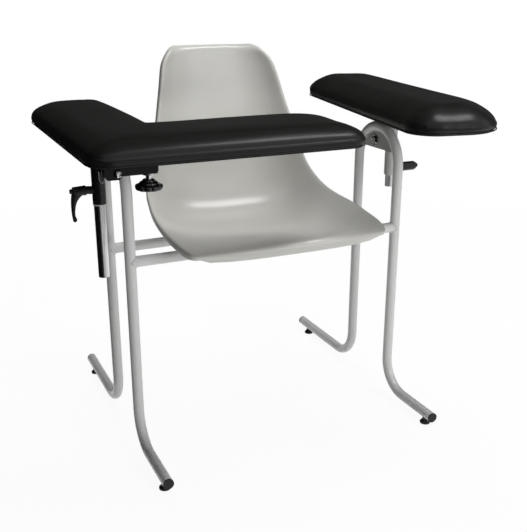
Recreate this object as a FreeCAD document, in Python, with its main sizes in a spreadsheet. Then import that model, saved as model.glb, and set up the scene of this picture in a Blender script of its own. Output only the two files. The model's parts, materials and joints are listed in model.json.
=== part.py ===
import FreeCAD, Part
import math
import os
import Sketcher
from FreeCAD import Placement, Rotation, Vector

# Blood-draw chair: a moulded shell on a bent tube frame, with two padded arms that slide, swivel
# and clamp on posts. The wide left arm flips up on a pivot and is levelled by a knob.
# Millimetres. The floor is z = 0, the chair faces -Y, and x = 0 is midway between the side frames.

doc = FreeCAD.newDocument("BloodDrawChair")

# Driving sizes: name, value and what it measures
SIZES = [
    ("frame_half", 308.8, "middle plane of a side frame from the middle of the chair"),
    ("tube_d", 22.2, "outside diameter of the frame tube"),
    ("tube_wall", 1.6, "wall of the frame tube"),
    ("leg_half", 81.8, "leg axis in front of or behind the middle; also the arch radius"),
    ("bend_r", 70.0, "bend radius from leg to foot"),
    ("arch_spring", 553.1, "height where the arch leaves the legs"),
    ("foot_axis", 24.0, "height of the foot tube's axis"),
    ("front_reach", 188.0, "front foot's end ahead of the front leg"),
    ("rear_reach", 274.0, "rear foot's end behind the rear leg"),
    ("front_bar_axis", 418.3, "height of the front crossbar's axis"),
    ("rear_bar_axis", 399.9, "height of the rear crossbar's axis"),
    ("plug_rim", 2.6, "thickness of a plug's rim outside the tube"),
    ("plug_depth", 16.0, "depth of a plug inside the tube"),
    ("glide_d", 23.0, "diameter of a glide's foot"),
    ("glide_rim", 3.5, "height of a glide's foot"),
    ("glide_neck_d", 13.0, "diameter of a glide's neck"),
    ("glide_stem_d", 7.8, "diameter of a glide's stem"),
    ("glide_stem_long", 6.0, "length of a glide's stem inside the tube"),
    ("front_glide_inset", 24.0, "front glide's axis from the foot's end"),
    ("rear_glide_inset", 38.0, "rear glide's axis from the foot's end"),
    ("gusset_thick", 3.0, "gusset plate"),
    ("gusset_deep", 39.8, "gusset's lower edge under the arch's inner crown"),
    ("fit_gap", 0.05, "radial clearance of a running fit"),
    ("loose_gap", 0.3, "clearance between pieces that move past each other"),
    ("seat_gap", 0.02, "clearance of a piece in its fixed seat"),
    ("post_out", 34.7, "post axis outside the middle plane of its side frame"),
    ("post_d", 22.2, "outside diameter of a post"),
    ("post_wall", 1.6, "wall of a post"),
    ("sleeve_d", 25.4, "outside diameter of a sleeve"),
    ("sleeve_low", 522.5, "height of a sleeve's lower end"),
    ("sleeve_long", 104.0, "length of a sleeve"),
    ("sleeve_ring_high", 2.5, "height of the ring under a sleeve"),
    ("left_post_low", 368.5, "height of the left post's lower end"),
    ("right_post_low", 493.5, "height of the right post's lower end"),
    ("collar_d", 30.0, "diameter of a post's collar"),
    ("collar_high", 4.4, "height of a post's collar"),
    ("saddle_thick", 1.5, "wall of the bracket's half-round saddle"),
    ("bracket_thick", 3.0, "web and flanges of a sleeve bracket"),
    ("bracket_drop", 34.3, "bracket's lower flange under the arch's inner crown"),
    ("bracket_high", 24.0, "height of the bracket's channel"),
    ("bracket_front", 21.0, "channel's front edge ahead of the post"),
    ("bracket_rear", 29.0, "channel's rear edge behind the post"),
    ("bracket_bolt_d", 8.0, "bolt that holds a bracket to its gusset"),
    ("bracket_bolt_back", 14.0, "bolt's axis behind the post"),
    ("bolt_head_d", 16.0, "head of the bracket bolt"),
    ("bolt_head_high", 5.0, "height of the bracket bolt's head"),
    ("bolt_washer_d", 27.0, "washer of the bracket bolt"),
    ("washer_thick", 1.6, "thickness of that washer"),
    ("nut_high", 6.0, "height of the bracket bolt's nut"),
    ("left_clamp_axis", 551.5, "height of the left clamp's axis"),
    ("right_clamp_axis", 536.5, "height of the right clamp's axis"),
    ("left_clamp_out", 0.3, "left lever's hub from its boss"),
    ("right_clamp_out", 17.0, "right lever's hub from its boss"),
    ("clamp_screw_d", 8.0, "clamp screw"),
    ("clamp_boss_d", 16.0, "threaded boss on the sleeve"),
    ("clamp_boss_long", 6.0, "boss beyond the sleeve's wall"),
    ("hub_d", 18.0, "lever's hub"),
    ("hub_long", 34.0, "length of the lever's hub"),
    ("handle_thick", 11.0, "lever's handle across"),
    ("handle_drop", 62.0, "lever's tip below the hub's axis"),
    ("hub_taper_long", 9.0, "length over which the hub narrows to its handle at the outer end"),
    ("lever_cap_d", 10.0, "screw end that shows outside the hub"),
    ("lever_cap_high", 5.5, "height of that screw end"),
    ("arm_wide", 20.0, "arm tube across"),
    ("arm_high", 16.0, "arm tube's height"),
    ("arm_wall", 2.0, "wall of the arm tube"),
    ("arm_low", 631.5, "height of the arm tube's underside"),
    ("arm_front", 222.0, "arm tube's front end ahead of the post"),
    ("arm_rear", 19.0, "arm tube's rear end behind the post"),
    ("spigot_long", 32.0, "spigot inside a post"),
    ("plate_thick", 4.0, "hinge plate"),
    ("plate_right", 48.0, "hinge plate's right end from the post"),
    ("tongue_back", 60.0, "hinge plate's tongue under the arm tube"),
    ("pivot_side", 22.5, "pivot's axis to the left of the post"),
    ("pivot_axis", 633.5, "height of the pivot's axis"),
    ("pivot_d", 8.0, "pivot bolt"),
    ("barrel_d", 12.4, "pivot barrel"),
    ("hinge_back", 237.0, "middle of the hinge channel ahead of the post"),
    ("channel_wide", 26.0, "hinge channel across"),
    ("channel_wall", 2.5, "wall of the hinge channel"),
    ("channel_left", 44.0, "channel's left end from the post"),
    ("channel_right", 48.5, "channel's right end from the post"),
    ("ear_right", 16.5, "ear's right edge to the left of the post"),
    ("ear_low", 622.5, "height of the ear's lower edge"),
    ("flange_low", 632.1, "height of the flanges right of the ear"),
    ("ear_round", 6.0, "rounding of the ear's corners"),
    ("pivot_head_d", 14.5, "pan head of the pivot bolt"),
    ("pivot_head_high", 3.8, "height of the pan head"),
    ("slot_wide", 2.2, "screwdriver slot"),
    ("slot_deep", 1.8, "depth of the screwdriver slot"),
    ("pivot_nut_d", 13.0, "pivot nut across its flats"),
    ("pivot_nut_high", 6.0, "height of the pivot nut"),
    ("stud_side", 34.0, "levelling stud to the right of the post"),
    ("stud_d", 10.0, "levelling stud"),
    ("stud_low", 601.5, "height of the stud's lower end"),
    ("weld_nut_d", 20.0, "flange of the weld nut"),
    ("weld_nut_high", 3.0, "height of that flange"),
    ("knob_d", 49.0, "levelling knob"),
    ("knob_low", 598.0, "height of the knob's underside"),
    ("knob_rim_high", 10.5, "height of the knob's lobed rim"),
    ("knob_hub_d", 26.0, "knob's hub"),
    ("knob_hub_high", 8.5, "hub above the rim"),
    ("knob_notch_d", 9.0, "hollow between two lobes"),
    ("left_board_low", 652.5, "height of the left board's underside"),
    ("right_board_low", 666.5, "height of the right board's underside"),
    ("board_thick", 11.0, "arm board"),
    ("board_inset", 6.0, "board's edge inside the pad's widest outline"),
    ("band_low", 6.6, "edge band's underside above the board's underside"),
    ("band_high", 3.2, "height of the edge band"),
    ("band_out", 1.5, "edge band's edge inside the pad's widest outline"),
    ("left_pad_high", 46.4, "top of the left pad above its board's underside"),
    ("left_crown", 62.0, "left pad's rounding, measured inwards from its widest outline"),
    ("right_pad_high", 56.0, "top of the right pad above its board's underside"),
    ("right_crown", 65.0, "right pad's rounding, measured inwards from its widest outline"),
    ("seam_in", 2.5, "pad drawn in at its seam"),
    ("bulge_low", 3.0, "pad's side above its seam"),
    ("bulge_in", 0.5, "pad's side there inside the widest outline"),
    ("bulge_high", 7.0, "pad's widest outline above its seam"),
    ("l_left", 82.0, "left pad's outer side from the post"),
    ("l_short_right", 99.5, "short part's inner side from the post"),
    ("l_long_right", 442.0, "long part's right end from the post"),
    ("l_front", 311.5, "left pad's front ahead of the post"),
    ("l_long_back", 91.0, "long part's rear side ahead of the post"),
    ("l_rear", 302.0, "short part's rear end behind the post"),
    ("l_corner", 43.0, "left pad's front corners"),
    ("l_end_corner", 87.0, "rear corner of the long part's end"),
    ("l_tail_outer", 76.0, "outer corner of the short part's end"),
    ("l_tail_inner", 47.0, "inner corner of the short part's end"),
    ("l_notch", 7.0, "inside corner of the L"),
    ("straight_front", 352.0, "right pad's front end ahead of the post"),
    ("straight_rear", 384.0, "right pad's rear end behind the post"),
    ("straight_half", 103.0, "half the right pad's width"),
    ("straight_inner_corner", 60.0, "right pad's inner front corner"),
    ("straight_outer_corner", 95.0, "right pad's outer front corner"),
    ("straight_rear_corner", 80.0, "right pad's rear corners"),
    ("screw_d", 5.0, "wood screws in the boards"),
    ("screw_head_d", 10.0, "head of a wood screw"),
    ("screw_head_high", 2.4, "height of that head"),
    ("screw_deep", 8.0, "depth of a screw in its board"),
    ("mount_plate_long", 120.0, "right arm's plate along the pad"),
    ("mount_plate_wide", 80.0, "right arm's plate across"),
    ("mount_plate_thick", 5.0, "right arm's plate"),
    ("mount_inset", 12.0, "plate's screws from its edges"),
    ("mount_corner", 8.0, "plate's rounded corners"),
    ("bumper_d", 16.0, "rubber bumper on the arm tube"),
    ("seat_front", 201.0, "seat's front edge ahead of the middle"),
    ("seat_deep", 472.0, "seat's front edge to the back's rearmost edge"),
    ("seat_low", 424.5, "height of the lowest point of the sitting surface"),
    ("back_high", 382.0, "top of the back above that point"),
    ("seat_half", 224.8, "greatest half width inside the rolled rim"),
    ("dish_deep", 85.0, "depth of the dish from rim to middle"),
    ("shell_thick", 4.2, "wall of the seat shell"),
    ("rim_out", 9.0, "rolled rim's reach outside the sitting surface"),
    ("rim_drop", 13.0, "rolled rim's drop"),
    ("rail_side", 112.0, "seat rail from the middle of the chair"),
    ("rail_wide", 30.0, "seat rail across"),
    ("rail_thick", 4.0, "seat rail"),
    ("rail_over", 17.0, "rail past each crossbar's axis"),
    ("rubber_d", 25.0, "rubber washer under the seat"),
    ("rubber_high", 3.0, "height of a rubber washer"),
    ("seat_screw_side", 52.0, "seat screws ahead of and behind the rail's middle"),
    ("seat_screw_d", 6.0, "seat screw"),
    ("seat_screw_long", 16.0, "seat screw above the rail's underside"),
    ("seat_head_d", 12.0, "head of a seat screw"),
    ("seat_head_high", 4.0, "height of that head"),
    ("boss_d", 20.0, "moulded boss under the seat"),
]

RIGHT_ARM_TURN = -10.9
KNOB_LOBES = 7
HEX_SIDES = 6

# Sitting surface, front lip to back edge. Each row: place along the depth, height, half width and
# dish as shares of the seat's depth, the back's height, the half width and the dish's depth, the
# tilt of the section from upright towards the front, in degrees, and the rim's share of its full size.
SEAT_SHARES = [
    (0.005, 0.012, 0.785, -0.150, 98, 0.75),
    (0.003, 0.040, 0.850, -0.120, 80, 0.75),
    (0.017, 0.067, 0.909, -0.060, 40, 0.80),
    (0.064, 0.073, 0.955, 0.010, 2, 0.95),
    (0.155, 0.060, 0.991, 0.150, -6, 1.0),
    (0.248, 0.046, 1.000, 0.275, -6, 1.0),
    (0.337, 0.034, 0.998, 0.405, -6, 1.0),
    (0.441, 0.021, 0.980, 0.530, -6, 1.0),
    (0.542, 0.008, 0.951, 0.680, -4, 1.0),
    (0.638, 0.001, 0.926, 0.850, 6, 1.0),
    (0.720, 0.020, 0.905, 0.950, 17, 1.0),
    (0.783, 0.078, 0.870, 0.960, 28, 1.0),
    (0.820, 0.168, 0.832, 0.880, 37, 1.0),
    (0.838, 0.286, 0.793, 0.760, 46, 1.0),
    (0.848, 0.414, 0.752, 0.600, 58, 1.0),
    (0.862, 0.548, 0.708, 0.500, 74, 1.0),
    (0.884, 0.694, 0.654, 0.440, 84, 1.0),
    (0.911, 0.830, 0.602, 0.420, 86, 1.0),
    (0.928, 0.917, 0.552, 0.350, 86, 1.0),
    (0.937, 0.965, 0.485, 0.240, 82, 0.95),
    (0.948, 0.995, 0.412, 0.050, 46, 0.85),
    (0.964, 1.003, 0.373, -0.020, -6, 0.75),
    (0.978, 0.991, 0.355, -0.060, -55, 0.75),
]

# Section of the dish: place across as a share of the half width, and rise as a share of the dish
DISH_SHARES = [(0.0, 0.0), (0.3, 0.01), (0.55, 0.09), (0.75, 0.30), (0.9, 0.64), (1.0, 1.0)]
# Rolled rim outside the dish: shares of the rim's reach and of its drop
RIM_SHARES = [(0.7, 0.0), (1.05, 0.32), (0.85, 1.0)]

# Turn of each clamp lever about its screw in degrees: the left one hangs, the right one points back.
LEFT_LEVER_TURN = 0
RIGHT_LEVER_TURN = 69

# Crown of a pad, from its widest outline to its top, as turns of a quarter circle in degrees. The
# power says how full the crown is; 2 is a quarter of an ellipse.
CROWN_TURNS = (0, 15, 30, 45, 60, 75, 90)
LEFT_CROWN_POWER = 2.4
RIGHT_CROWN_POWER = 1.46
LEAST_ROUND_SHARE = 0.3
# How much an inside corner widens as the outline moves inwards
NOTCH_SPREAD = 0.12


class Size:
    """A length, with the sheet formula that gives it."""

    def __init__(self, value, formula):
        self.value = value
        self.formula = formula

    def joined(self, sign, other, value):
        return Size(value, f"({self.formula} {sign} {as_size(other).formula})")

    def __add__(self, other):
        return self.joined("+", other, self.value + as_size(other).value)

    def __sub__(self, other):
        return self.joined("-", other, self.value - as_size(other).value)

    def __mul__(self, other):
        return self.joined("*", other, self.value * as_size(other).value)

    def __truediv__(self, other):
        return self.joined("/", other, self.value / as_size(other).value)

    def __neg__(self):
        return Size(-self.value, f"(-1 * {self.formula})")

    def __rmul__(self, other):
        return self * other


def as_size(value):
    return value if isinstance(value, Size) else Size(value, repr(value))


def root(size):
    return Size(math.sqrt(size.value), f"sqrt({size.formula})")


class Sheet:
    """The spreadsheet; each named size is read as an attribute."""

    def __init__(self, rows):
        cells = doc.addObject("Spreadsheet::Sheet", "Sizes")
        for row, (name, value, note) in enumerate(rows, 1):
            cells.set(f"A{row}", name)
            cells.set(f"B{row}", str(value))
            cells.setAlias(f"B{row}", name)
            cells.set(f"C{row}", note)
            setattr(self, name, Size(value, f"Sizes.{name}"))


s = Sheet(SIZES)
doc.recompute()

# Sizes that follow from the driving ones
ZERO = Size(0.0, "0")
tube_r = s.tube_d / 2
bore_r = tube_r - s.tube_wall
overrun = s.tube_d * 2
front_end = s.leg_half + s.front_reach
rear_end = s.leg_half + s.rear_reach
tube_under = s.foot_axis - tube_r
sleeve_top = s.sleeve_low + s.sleeve_long
sleeve_bore_d = s.post_d + s.fit_gap * 2
left_post_top = s.arm_low - s.loose_gap
mount_low = s.right_board_low - s.mount_plate_thick
right_post_top = mount_low - s.loose_gap
spigot_d = s.post_d - s.post_wall * 2 - s.fit_gap * 2
arm_top = s.arm_low + s.arm_high
inner_crown = s.arch_spring + s.leg_half - tube_r
gusset_low = inner_crown - s.gusset_deep
gusset_rise = gusset_low - s.arch_spring
bracket_low = inner_crown - s.bracket_drop
gusset_r = s.leg_half - tube_r
gusset_face = s.gusset_thick / 2
post_side = s.frame_half + s.post_out
hinge_half = s.channel_wide / 2
hinge_inside = hinge_half - s.channel_wall
barrel_half = hinge_inside - s.loose_gap
board_inset = s.board_inset
SIDES = (("left", -1), ("right", 1))


# Sketches and features

def place(thing, x=ZERO, y=ZERO, z=ZERO, axis=None, angle=0.0):
    """Places a piece; its coordinates are bound to the sheet."""
    if axis is not None:
        thing.Placement = Placement(Vector(0, 0, 0), Rotation(Vector(*axis), angle))
    for name, size in (("x", x), ("y", y), ("z", z)):
        thing.setExpression(f"Placement.Base.{name}", as_size(size).formula)
    return thing


def body(label):
    made = doc.addObject("PartDesign::Body", label)
    made.Label = label
    return made


def sketch(owner, plane, lift=ZERO):
    """A sketch on one of the body's origin planes, lifted along the plane's normal."""
    made = owner.newObject("Sketcher::SketchObject", f"{owner.Name}_sketch")
    support = [item for item in owner.Origin.OriginFeatures if item.Role == plane + "_Plane"]
    made.AttachmentSupport = [(support[0], "")]
    made.MapMode = "FlatFace"
    made.setExpression("AttachmentOffset.Base.z", lift.formula)
    return made


def fix_point(drawn, geometry, end, x, y):
    """Fixes one point of a sketch at the two sizes."""
    for kind, size, axis in (("DistanceX", x, -2), ("DistanceY", y, -1)):
        if size.value == 0:
            drawn.addConstraint(Sketcher.Constraint("PointOnObject", geometry, end, axis))
            continue
        number = drawn.addConstraint(Sketcher.Constraint(kind, -1, 1, geometry, end, size.value))
        drawn.setExpression(f"Constraints[{number}]", size.formula)


def circle(drawn, x, y, diameter):
    made = Part.Circle(Vector(x.value, y.value, 0), Vector(0, 0, 1), diameter.value / 2)
    number = drawn.addGeometry(made, False)
    fix_point(drawn, number, 3, x, y)
    bound = drawn.addConstraint(Sketcher.Constraint("Diameter", number, diameter.value))
    drawn.setExpression(f"Constraints[{bound}]", diameter.formula)


def arc_between(start, end, centre, turn):
    """An arc from start to end, turn 1 anticlockwise or -1 clockwise."""
    first, last = (start, end) if turn > 0 else (end, start)
    angles = [math.atan2(p[1].value - centre[1].value, p[0].value - centre[0].value) for p in (first, last)]
    radius = math.hypot(start[0].value - centre[0].value, start[1].value - centre[1].value)
    flat = Part.Circle(Vector(centre[0].value, centre[1].value, 0), Vector(0, 0, 1), radius)
    if angles[1] <= angles[0]:
        angles[1] += 2 * math.pi
    return Part.ArcOfCircle(flat, angles[0], angles[1])


def path(drawn, points, arcs=None, closed=True):
    """Lines through the points; arcs gives, for a stretch's number, its centre and turn."""
    arcs = arcs or {}
    count = len(points) if closed else len(points) - 1
    ends = []
    for number in range(count):
        start = points[number]
        end = points[(number + 1) % len(points)]
        if number in arcs:
            centre, turn = arcs[number]
            made = drawn.addGeometry(arc_between(start, end, centre, turn), False)
            ends.append((made, 1, 2) if turn > 0 else (made, 2, 1))
        else:
            flat = Part.LineSegment(*(Vector(p[0].value, p[1].value, 0) for p in (start, end)))
            ends.append((drawn.addGeometry(flat, False), 1, 2))
    for number, (made, first, last) in enumerate(ends):
        fix_point(drawn, made, first, *points[number])
        if closed or number + 1 < count:
            after = ends[(number + 1) % count]
            drawn.addConstraint(Sketcher.Constraint("Coincident", made, last, after[0], after[1]))
        else:
            fix_point(drawn, made, last, *points[number + 1])
    for number, (centre, turn) in arcs.items():
        start, end = points[number], points[(number + 1) % len(points)]
        wide = abs(end[0].value - start[0].value) > abs(end[1].value - start[1].value)
        kind, size, axis = ("DistanceY", centre[1], -1) if wide else ("DistanceX", centre[0], -2)
        if size.value == 0:
            drawn.addConstraint(Sketcher.Constraint("PointOnObject", ends[number][0], 3, axis))
            continue
        bound = drawn.addConstraint(Sketcher.Constraint(kind, -1, 1, ends[number][0], 3, size.value))
        drawn.setExpression(f"Constraints[{bound}]", size.formula)
    return len(ends)


def box_outline(drawn, x0, x1, y0, y1):
    path(drawn, [(x0, y0), (x1, y0), (x1, y1), (x0, y1)])


def pad(owner, drawn, length, both=False, back=False):
    made = owner.newObject("PartDesign::Pad", f"{owner.Name}_pad")
    made.Profile = drawn
    made.SideType = "Symmetric" if both else "One side"
    made.Reversed = back
    made.setExpression("Length", length.formula)
    return made


def pocket(owner, drawn, length, both=False, back=False):
    made = owner.newObject("PartDesign::Pocket", f"{owner.Name}_pocket")
    made.Profile = drawn
    made.SideType = "Symmetric" if both else "One side"
    made.Reversed = back
    made.setExpression("Length", length.formula)
    return made


def revolve(owner, drawn, axis="V_Axis", groove=False):
    kind = "PartDesign::Groove" if groove else "PartDesign::Revolution"
    made = owner.newObject(kind, f"{owner.Name}_turned")
    made.Profile = drawn
    made.ReferenceAxis = (drawn, [axis])
    made.Angle = 360.0
    return made


def edges_where(owner, wanted):
    """Names of the edges of a body's shape whose middle and shape pass the test."""
    doc.recompute()
    shape = owner.Tip.Shape
    names = []
    for number, edge in enumerate(shape.Edges, 1):
        middle = edge.valueAt((edge.FirstParameter + edge.LastParameter) / 2)
        if wanted(middle, edge):
            names.append(f"Edge{number}")
    return names


def fillet(owner, names, radius):
    base = owner.Tip
    made = owner.newObject("PartDesign::Fillet", f"{owner.Name}_fillet")
    made.Base = (base, names)
    made.setExpression("Radius", radius.formula)
    return made


def upright(middle, edge):
    """True for a straight edge along the piece's own Z."""
    along = edge.tangentAt(edge.FirstParameter)
    return len(edge.Vertexes) == 2 and abs(along.z) > 0.999


def block(x, y, z, long, wide, high):
    made = place(doc.addObject("Part::Box", "block"), x, y, z)
    for name, size in (("Length", long), ("Width", wide), ("Height", high)):
        made.setExpression(name, size.formula)
    return made


TURNS = {"z": (None, 0), "x": ((0, 1, 0), 90), "-x": ((0, 1, 0), -90), "y": ((1, 0, 0), -90)}


def rod(x, y, z, diameter, high, along="z"):
    """A cylinder that starts at the point and runs along the named direction."""
    made = place(doc.addObject("Part::Cylinder", "rod"), x, y, z, *TURNS[along])
    made.setExpression("Radius", (diameter / 2).formula)
    made.setExpression("Height", high.formula)
    return made


def hexagon(x, y, z, across, high, along="z"):
    """A hexagonal prism; across is measured between its flats."""
    made = place(doc.addObject("Part::Prism", "hexagon"), x, y, z, *TURNS[along])
    made.Polygon = HEX_SIDES
    made.setExpression("Circumradius", (across / math.sqrt(3)).formula)
    made.setExpression("Height", high.formula)
    return made


def fused(*pieces):
    made = doc.addObject("Part::MultiFuse", "fused")
    made.Shapes = list(pieces)
    made.Refine = True
    return made


def cut(base, *tools):
    for tool in tools:
        made = doc.addObject("Part::Cut", "cut")
        made.Base = base
        made.Tool = tool
        base = made
    return base


def group(*pieces):
    """Several separate solids that share one node."""
    if len(pieces) == 1:
        return pieces[0]
    made = doc.addObject("Part::Compound", "group")
    made.Links = list(pieces)
    return made


NODES = []


def node(label, made):
    """Names a finished sub-part."""
    made.Label = label
    NODES.append(made)
    return made


# Frame

def side_frame(label, side):
    """One bent tube: front foot, front leg, arch, rear leg and rear foot."""
    made = body(label)
    bend_z = s.foot_axis + s.bend_r
    points = [
        (-front_end, s.foot_axis), (-(s.leg_half + s.bend_r), s.foot_axis),
        (-s.leg_half, bend_z), (-s.leg_half, s.arch_spring),
        (s.leg_half, s.arch_spring), (s.leg_half, bend_z),
        (s.leg_half + s.bend_r, s.foot_axis), (rear_end, s.foot_axis),
    ]
    bends = {
        1: ((-(s.leg_half + s.bend_r), bend_z), 1),
        3: ((ZERO, s.arch_spring), -1),
        5: ((s.leg_half + s.bend_r, bend_z), 1),
    }
    run = sketch(made, "YZ")
    stretches = path(run, points, bends, closed=False)
    ring = sketch(made, "XZ", front_end)
    circle(ring, ZERO, s.foot_axis, s.tube_d)
    circle(ring, ZERO, s.foot_axis, bore_r * 2)
    pipe = made.newObject("PartDesign::AdditivePipe", f"{label}_pipe")
    pipe.Profile = ring
    pipe.Spine = (run, [f"Edge{number}" for number in range(1, stretches + 1)])
    stems = sketch(made, "XY")
    for y in glide_places():
        circle(stems, ZERO, y, s.glide_stem_d + s.fit_gap * 2)
    pocket(made, stems, s.foot_axis, back=True)
    place(made, s.frame_half * side)
    return node(label, made)


def glide_places():
    return (s.front_glide_inset - front_end, rear_end - s.rear_glide_inset)


def crossbar(label, y, z):
    """A tube between the side frames, its ends coped to the legs."""
    long = s.frame_half * 2
    outer = rod(-s.frame_half, y, z, s.tube_d, long, "x")
    inner = rod(-s.frame_half, y, z, bore_r * 2, long, "x")
    legs = [rod(s.frame_half * side, y, z - overrun, s.tube_d, overrun * 2) for _, side in SIDES]
    return node(label, cut(outer, inner, *legs))


def gusset(label, side):
    """The plate that fills an arch, with the bracket bolt's hole."""
    made = body(label)
    half = root(gusset_r * gusset_r - gusset_rise * gusset_rise)
    outline = sketch(made, "YZ")
    path(outline, [(-half, gusset_low), (half, gusset_low)], {1: ((ZERO, s.arch_spring), 1)})
    pad(made, outline, s.gusset_thick, both=True)
    hole = sketch(made, "YZ")
    circle(hole, s.bracket_bolt_back * side, bolt_height(), s.bracket_bolt_d + s.fit_gap * 2)
    pocket(made, hole, s.gusset_thick * 2, both=True)
    place(made, s.frame_half * side)
    return node(label, made)


def bolt_height():
    return bracket_low + s.bracket_high / 2


def foot_plugs(label, y, out):
    """Turned plugs in the ends of both feet at one end of the chair."""
    plugs = []
    for _, side in SIDES:
        rim = rod(s.frame_half * side, y, s.foot_axis, s.tube_d, s.plug_rim, "y")
        shank = rod(s.frame_half * side, y, s.foot_axis, (bore_r - s.seat_gap) * 2, s.plug_depth, "y")
        if out > 0:
            place(shank, s.frame_half * side, y - s.plug_depth, s.foot_axis, *TURNS["y"])
        else:
            place(rim, s.frame_half * side, y - s.plug_rim, s.foot_axis, *TURNS["y"])
        plugs.append(fused(rim, shank))
    return node(label, group(*plugs))


def glide(label, x, y):
    """A turned glide: foot, cone, neck and stem."""
    made = body(label)
    outline = sketch(made, "XZ")
    foot, neck, stem = s.glide_d / 2, s.glide_neck_d / 2, s.glide_stem_d / 2
    cone_top = tube_under - s.glide_rim
    path(outline, [
        (ZERO, ZERO), (foot, ZERO), (foot, s.glide_rim), (neck, cone_top), (neck, tube_under),
        (stem, tube_under), (stem, tube_under + s.glide_stem_long), (ZERO, tube_under + s.glide_stem_long),
    ])
    revolve(made, outline)
    place(made, x, y)
    return node(label, made)


def build_frame():
    for name, side in SIDES:
        side_frame(f"{name}_side_frame", side)
        gusset(f"{name}_gusset", side)
    crossbar("front_crossbar", -s.leg_half, s.front_bar_axis)
    crossbar("rear_crossbar", s.leg_half, s.rear_bar_axis)
    foot_plugs("front_foot_plugs", -front_end, -1)
    foot_plugs("rear_foot_plugs", rear_end, 1)
    for name, side in SIDES:
        for end, y in zip(("front", "rear"), glide_places()):
            glide(f"{end}_{name}_glide", s.frame_half * side, y)


# Sleeves, brackets and clamps

def sleeve(label, side, clamp_z):
    """Sleeve of a post, with the threaded boss of the clamp and its hole."""
    x = post_side * side
    out = "x" if side > 0 else "-x"
    tube = rod(x, ZERO, s.sleeve_low, s.sleeve_d, s.sleeve_long)
    boss = rod(x, ZERO, clamp_z, s.clamp_boss_d, s.sleeve_d / 2 + s.clamp_boss_long, out)
    bore = rod(x, ZERO, s.sleeve_low - overrun, sleeve_bore_d, s.sleeve_long + overrun * 2)
    hole = rod(x, ZERO, clamp_z, s.clamp_screw_d + s.fit_gap * 2, overrun, out)
    return node(label, cut(fused(tube, boss), bore, hole))


def sleeve_ring(label, side):
    x = post_side * side
    low = s.sleeve_low - s.sleeve_ring_high
    ring = rod(x, ZERO, low, s.sleeve_d - s.fit_gap * 2, s.sleeve_ring_high)
    return node(label, cut(ring, rod(x, ZERO, low - overrun, sleeve_bore_d, overrun * 2)))


def sleeve_bracket(label, side):
    """Channel bolted to the gusset, with a half-round saddle welded along the sleeve."""
    made = body(label)
    near = gusset_face + s.seat_gap
    web = sketch(made, "XY")
    far = near + s.bracket_thick
    box_outline(web, near, far, -s.bracket_front, s.bracket_rear)
    pad(made, web, s.bracket_high)
    flanges = sketch(made, "XY")
    box_outline(flanges, near, s.post_out, -s.bracket_front, s.bracket_rear)
    pad(made, flanges, s.bracket_thick)
    upper = sketch(made, "XY", s.bracket_high - s.bracket_thick)
    box_outline(upper, near, s.post_out, -s.bracket_front, s.bracket_rear)
    pad(made, upper, s.bracket_thick)
    below = bracket_low - s.sleeve_low
    saddle = sketch(made, "XY", -below)
    radius = s.sleeve_d / 2 + s.saddle_thick
    path(saddle, [(s.post_out, -radius), (s.post_out, radius)], {1: ((s.post_out, ZERO), 1)})
    pad(made, saddle, s.sleeve_long)
    room = sketch(made, "XY", -(below + overrun))
    circle(room, s.post_out, ZERO, (s.sleeve_d / 2 + s.seat_gap) * 2)
    pocket(made, room, s.sleeve_long + overrun * 2, back=True)
    hole = sketch(made, "YZ")
    circle(hole, s.bracket_bolt_back, s.bracket_high / 2, s.bracket_bolt_d + s.fit_gap * 2)
    pocket(made, hole, overrun, both=True)
    turn = 0 if side > 0 else 180
    place(made, s.frame_half * side, ZERO, bracket_low, (0, 0, 1), turn)
    return node(label, made)


def bracket_bolt(label, side):
    """Bolt, washer and nut that hold a bracket to its gusset."""
    inward = "-x" if side > 0 else "x"
    outward = "x" if side > 0 else "-x"
    y = s.bracket_bolt_back * side
    z = bolt_height()
    face = s.frame_half * side - gusset_face * side
    web = s.frame_half * side + (gusset_face + s.seat_gap + s.bracket_thick) * side
    washer = rod(face, y, z, s.bolt_washer_d, s.washer_thick, inward)
    head_x = face - s.washer_thick * side
    head = hexagon(head_x, y, z, s.bolt_head_d, s.bolt_head_high, inward)
    shank_long = s.washer_thick + s.gusset_thick + s.bracket_thick + s.nut_high
    shank = rod(head_x, y, z, s.bracket_bolt_d, shank_long, outward)
    nut = hexagon(web, y, z, s.pivot_nut_d, s.nut_high, outward)
    return node(label, fused(washer, head, shank, nut))


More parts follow.
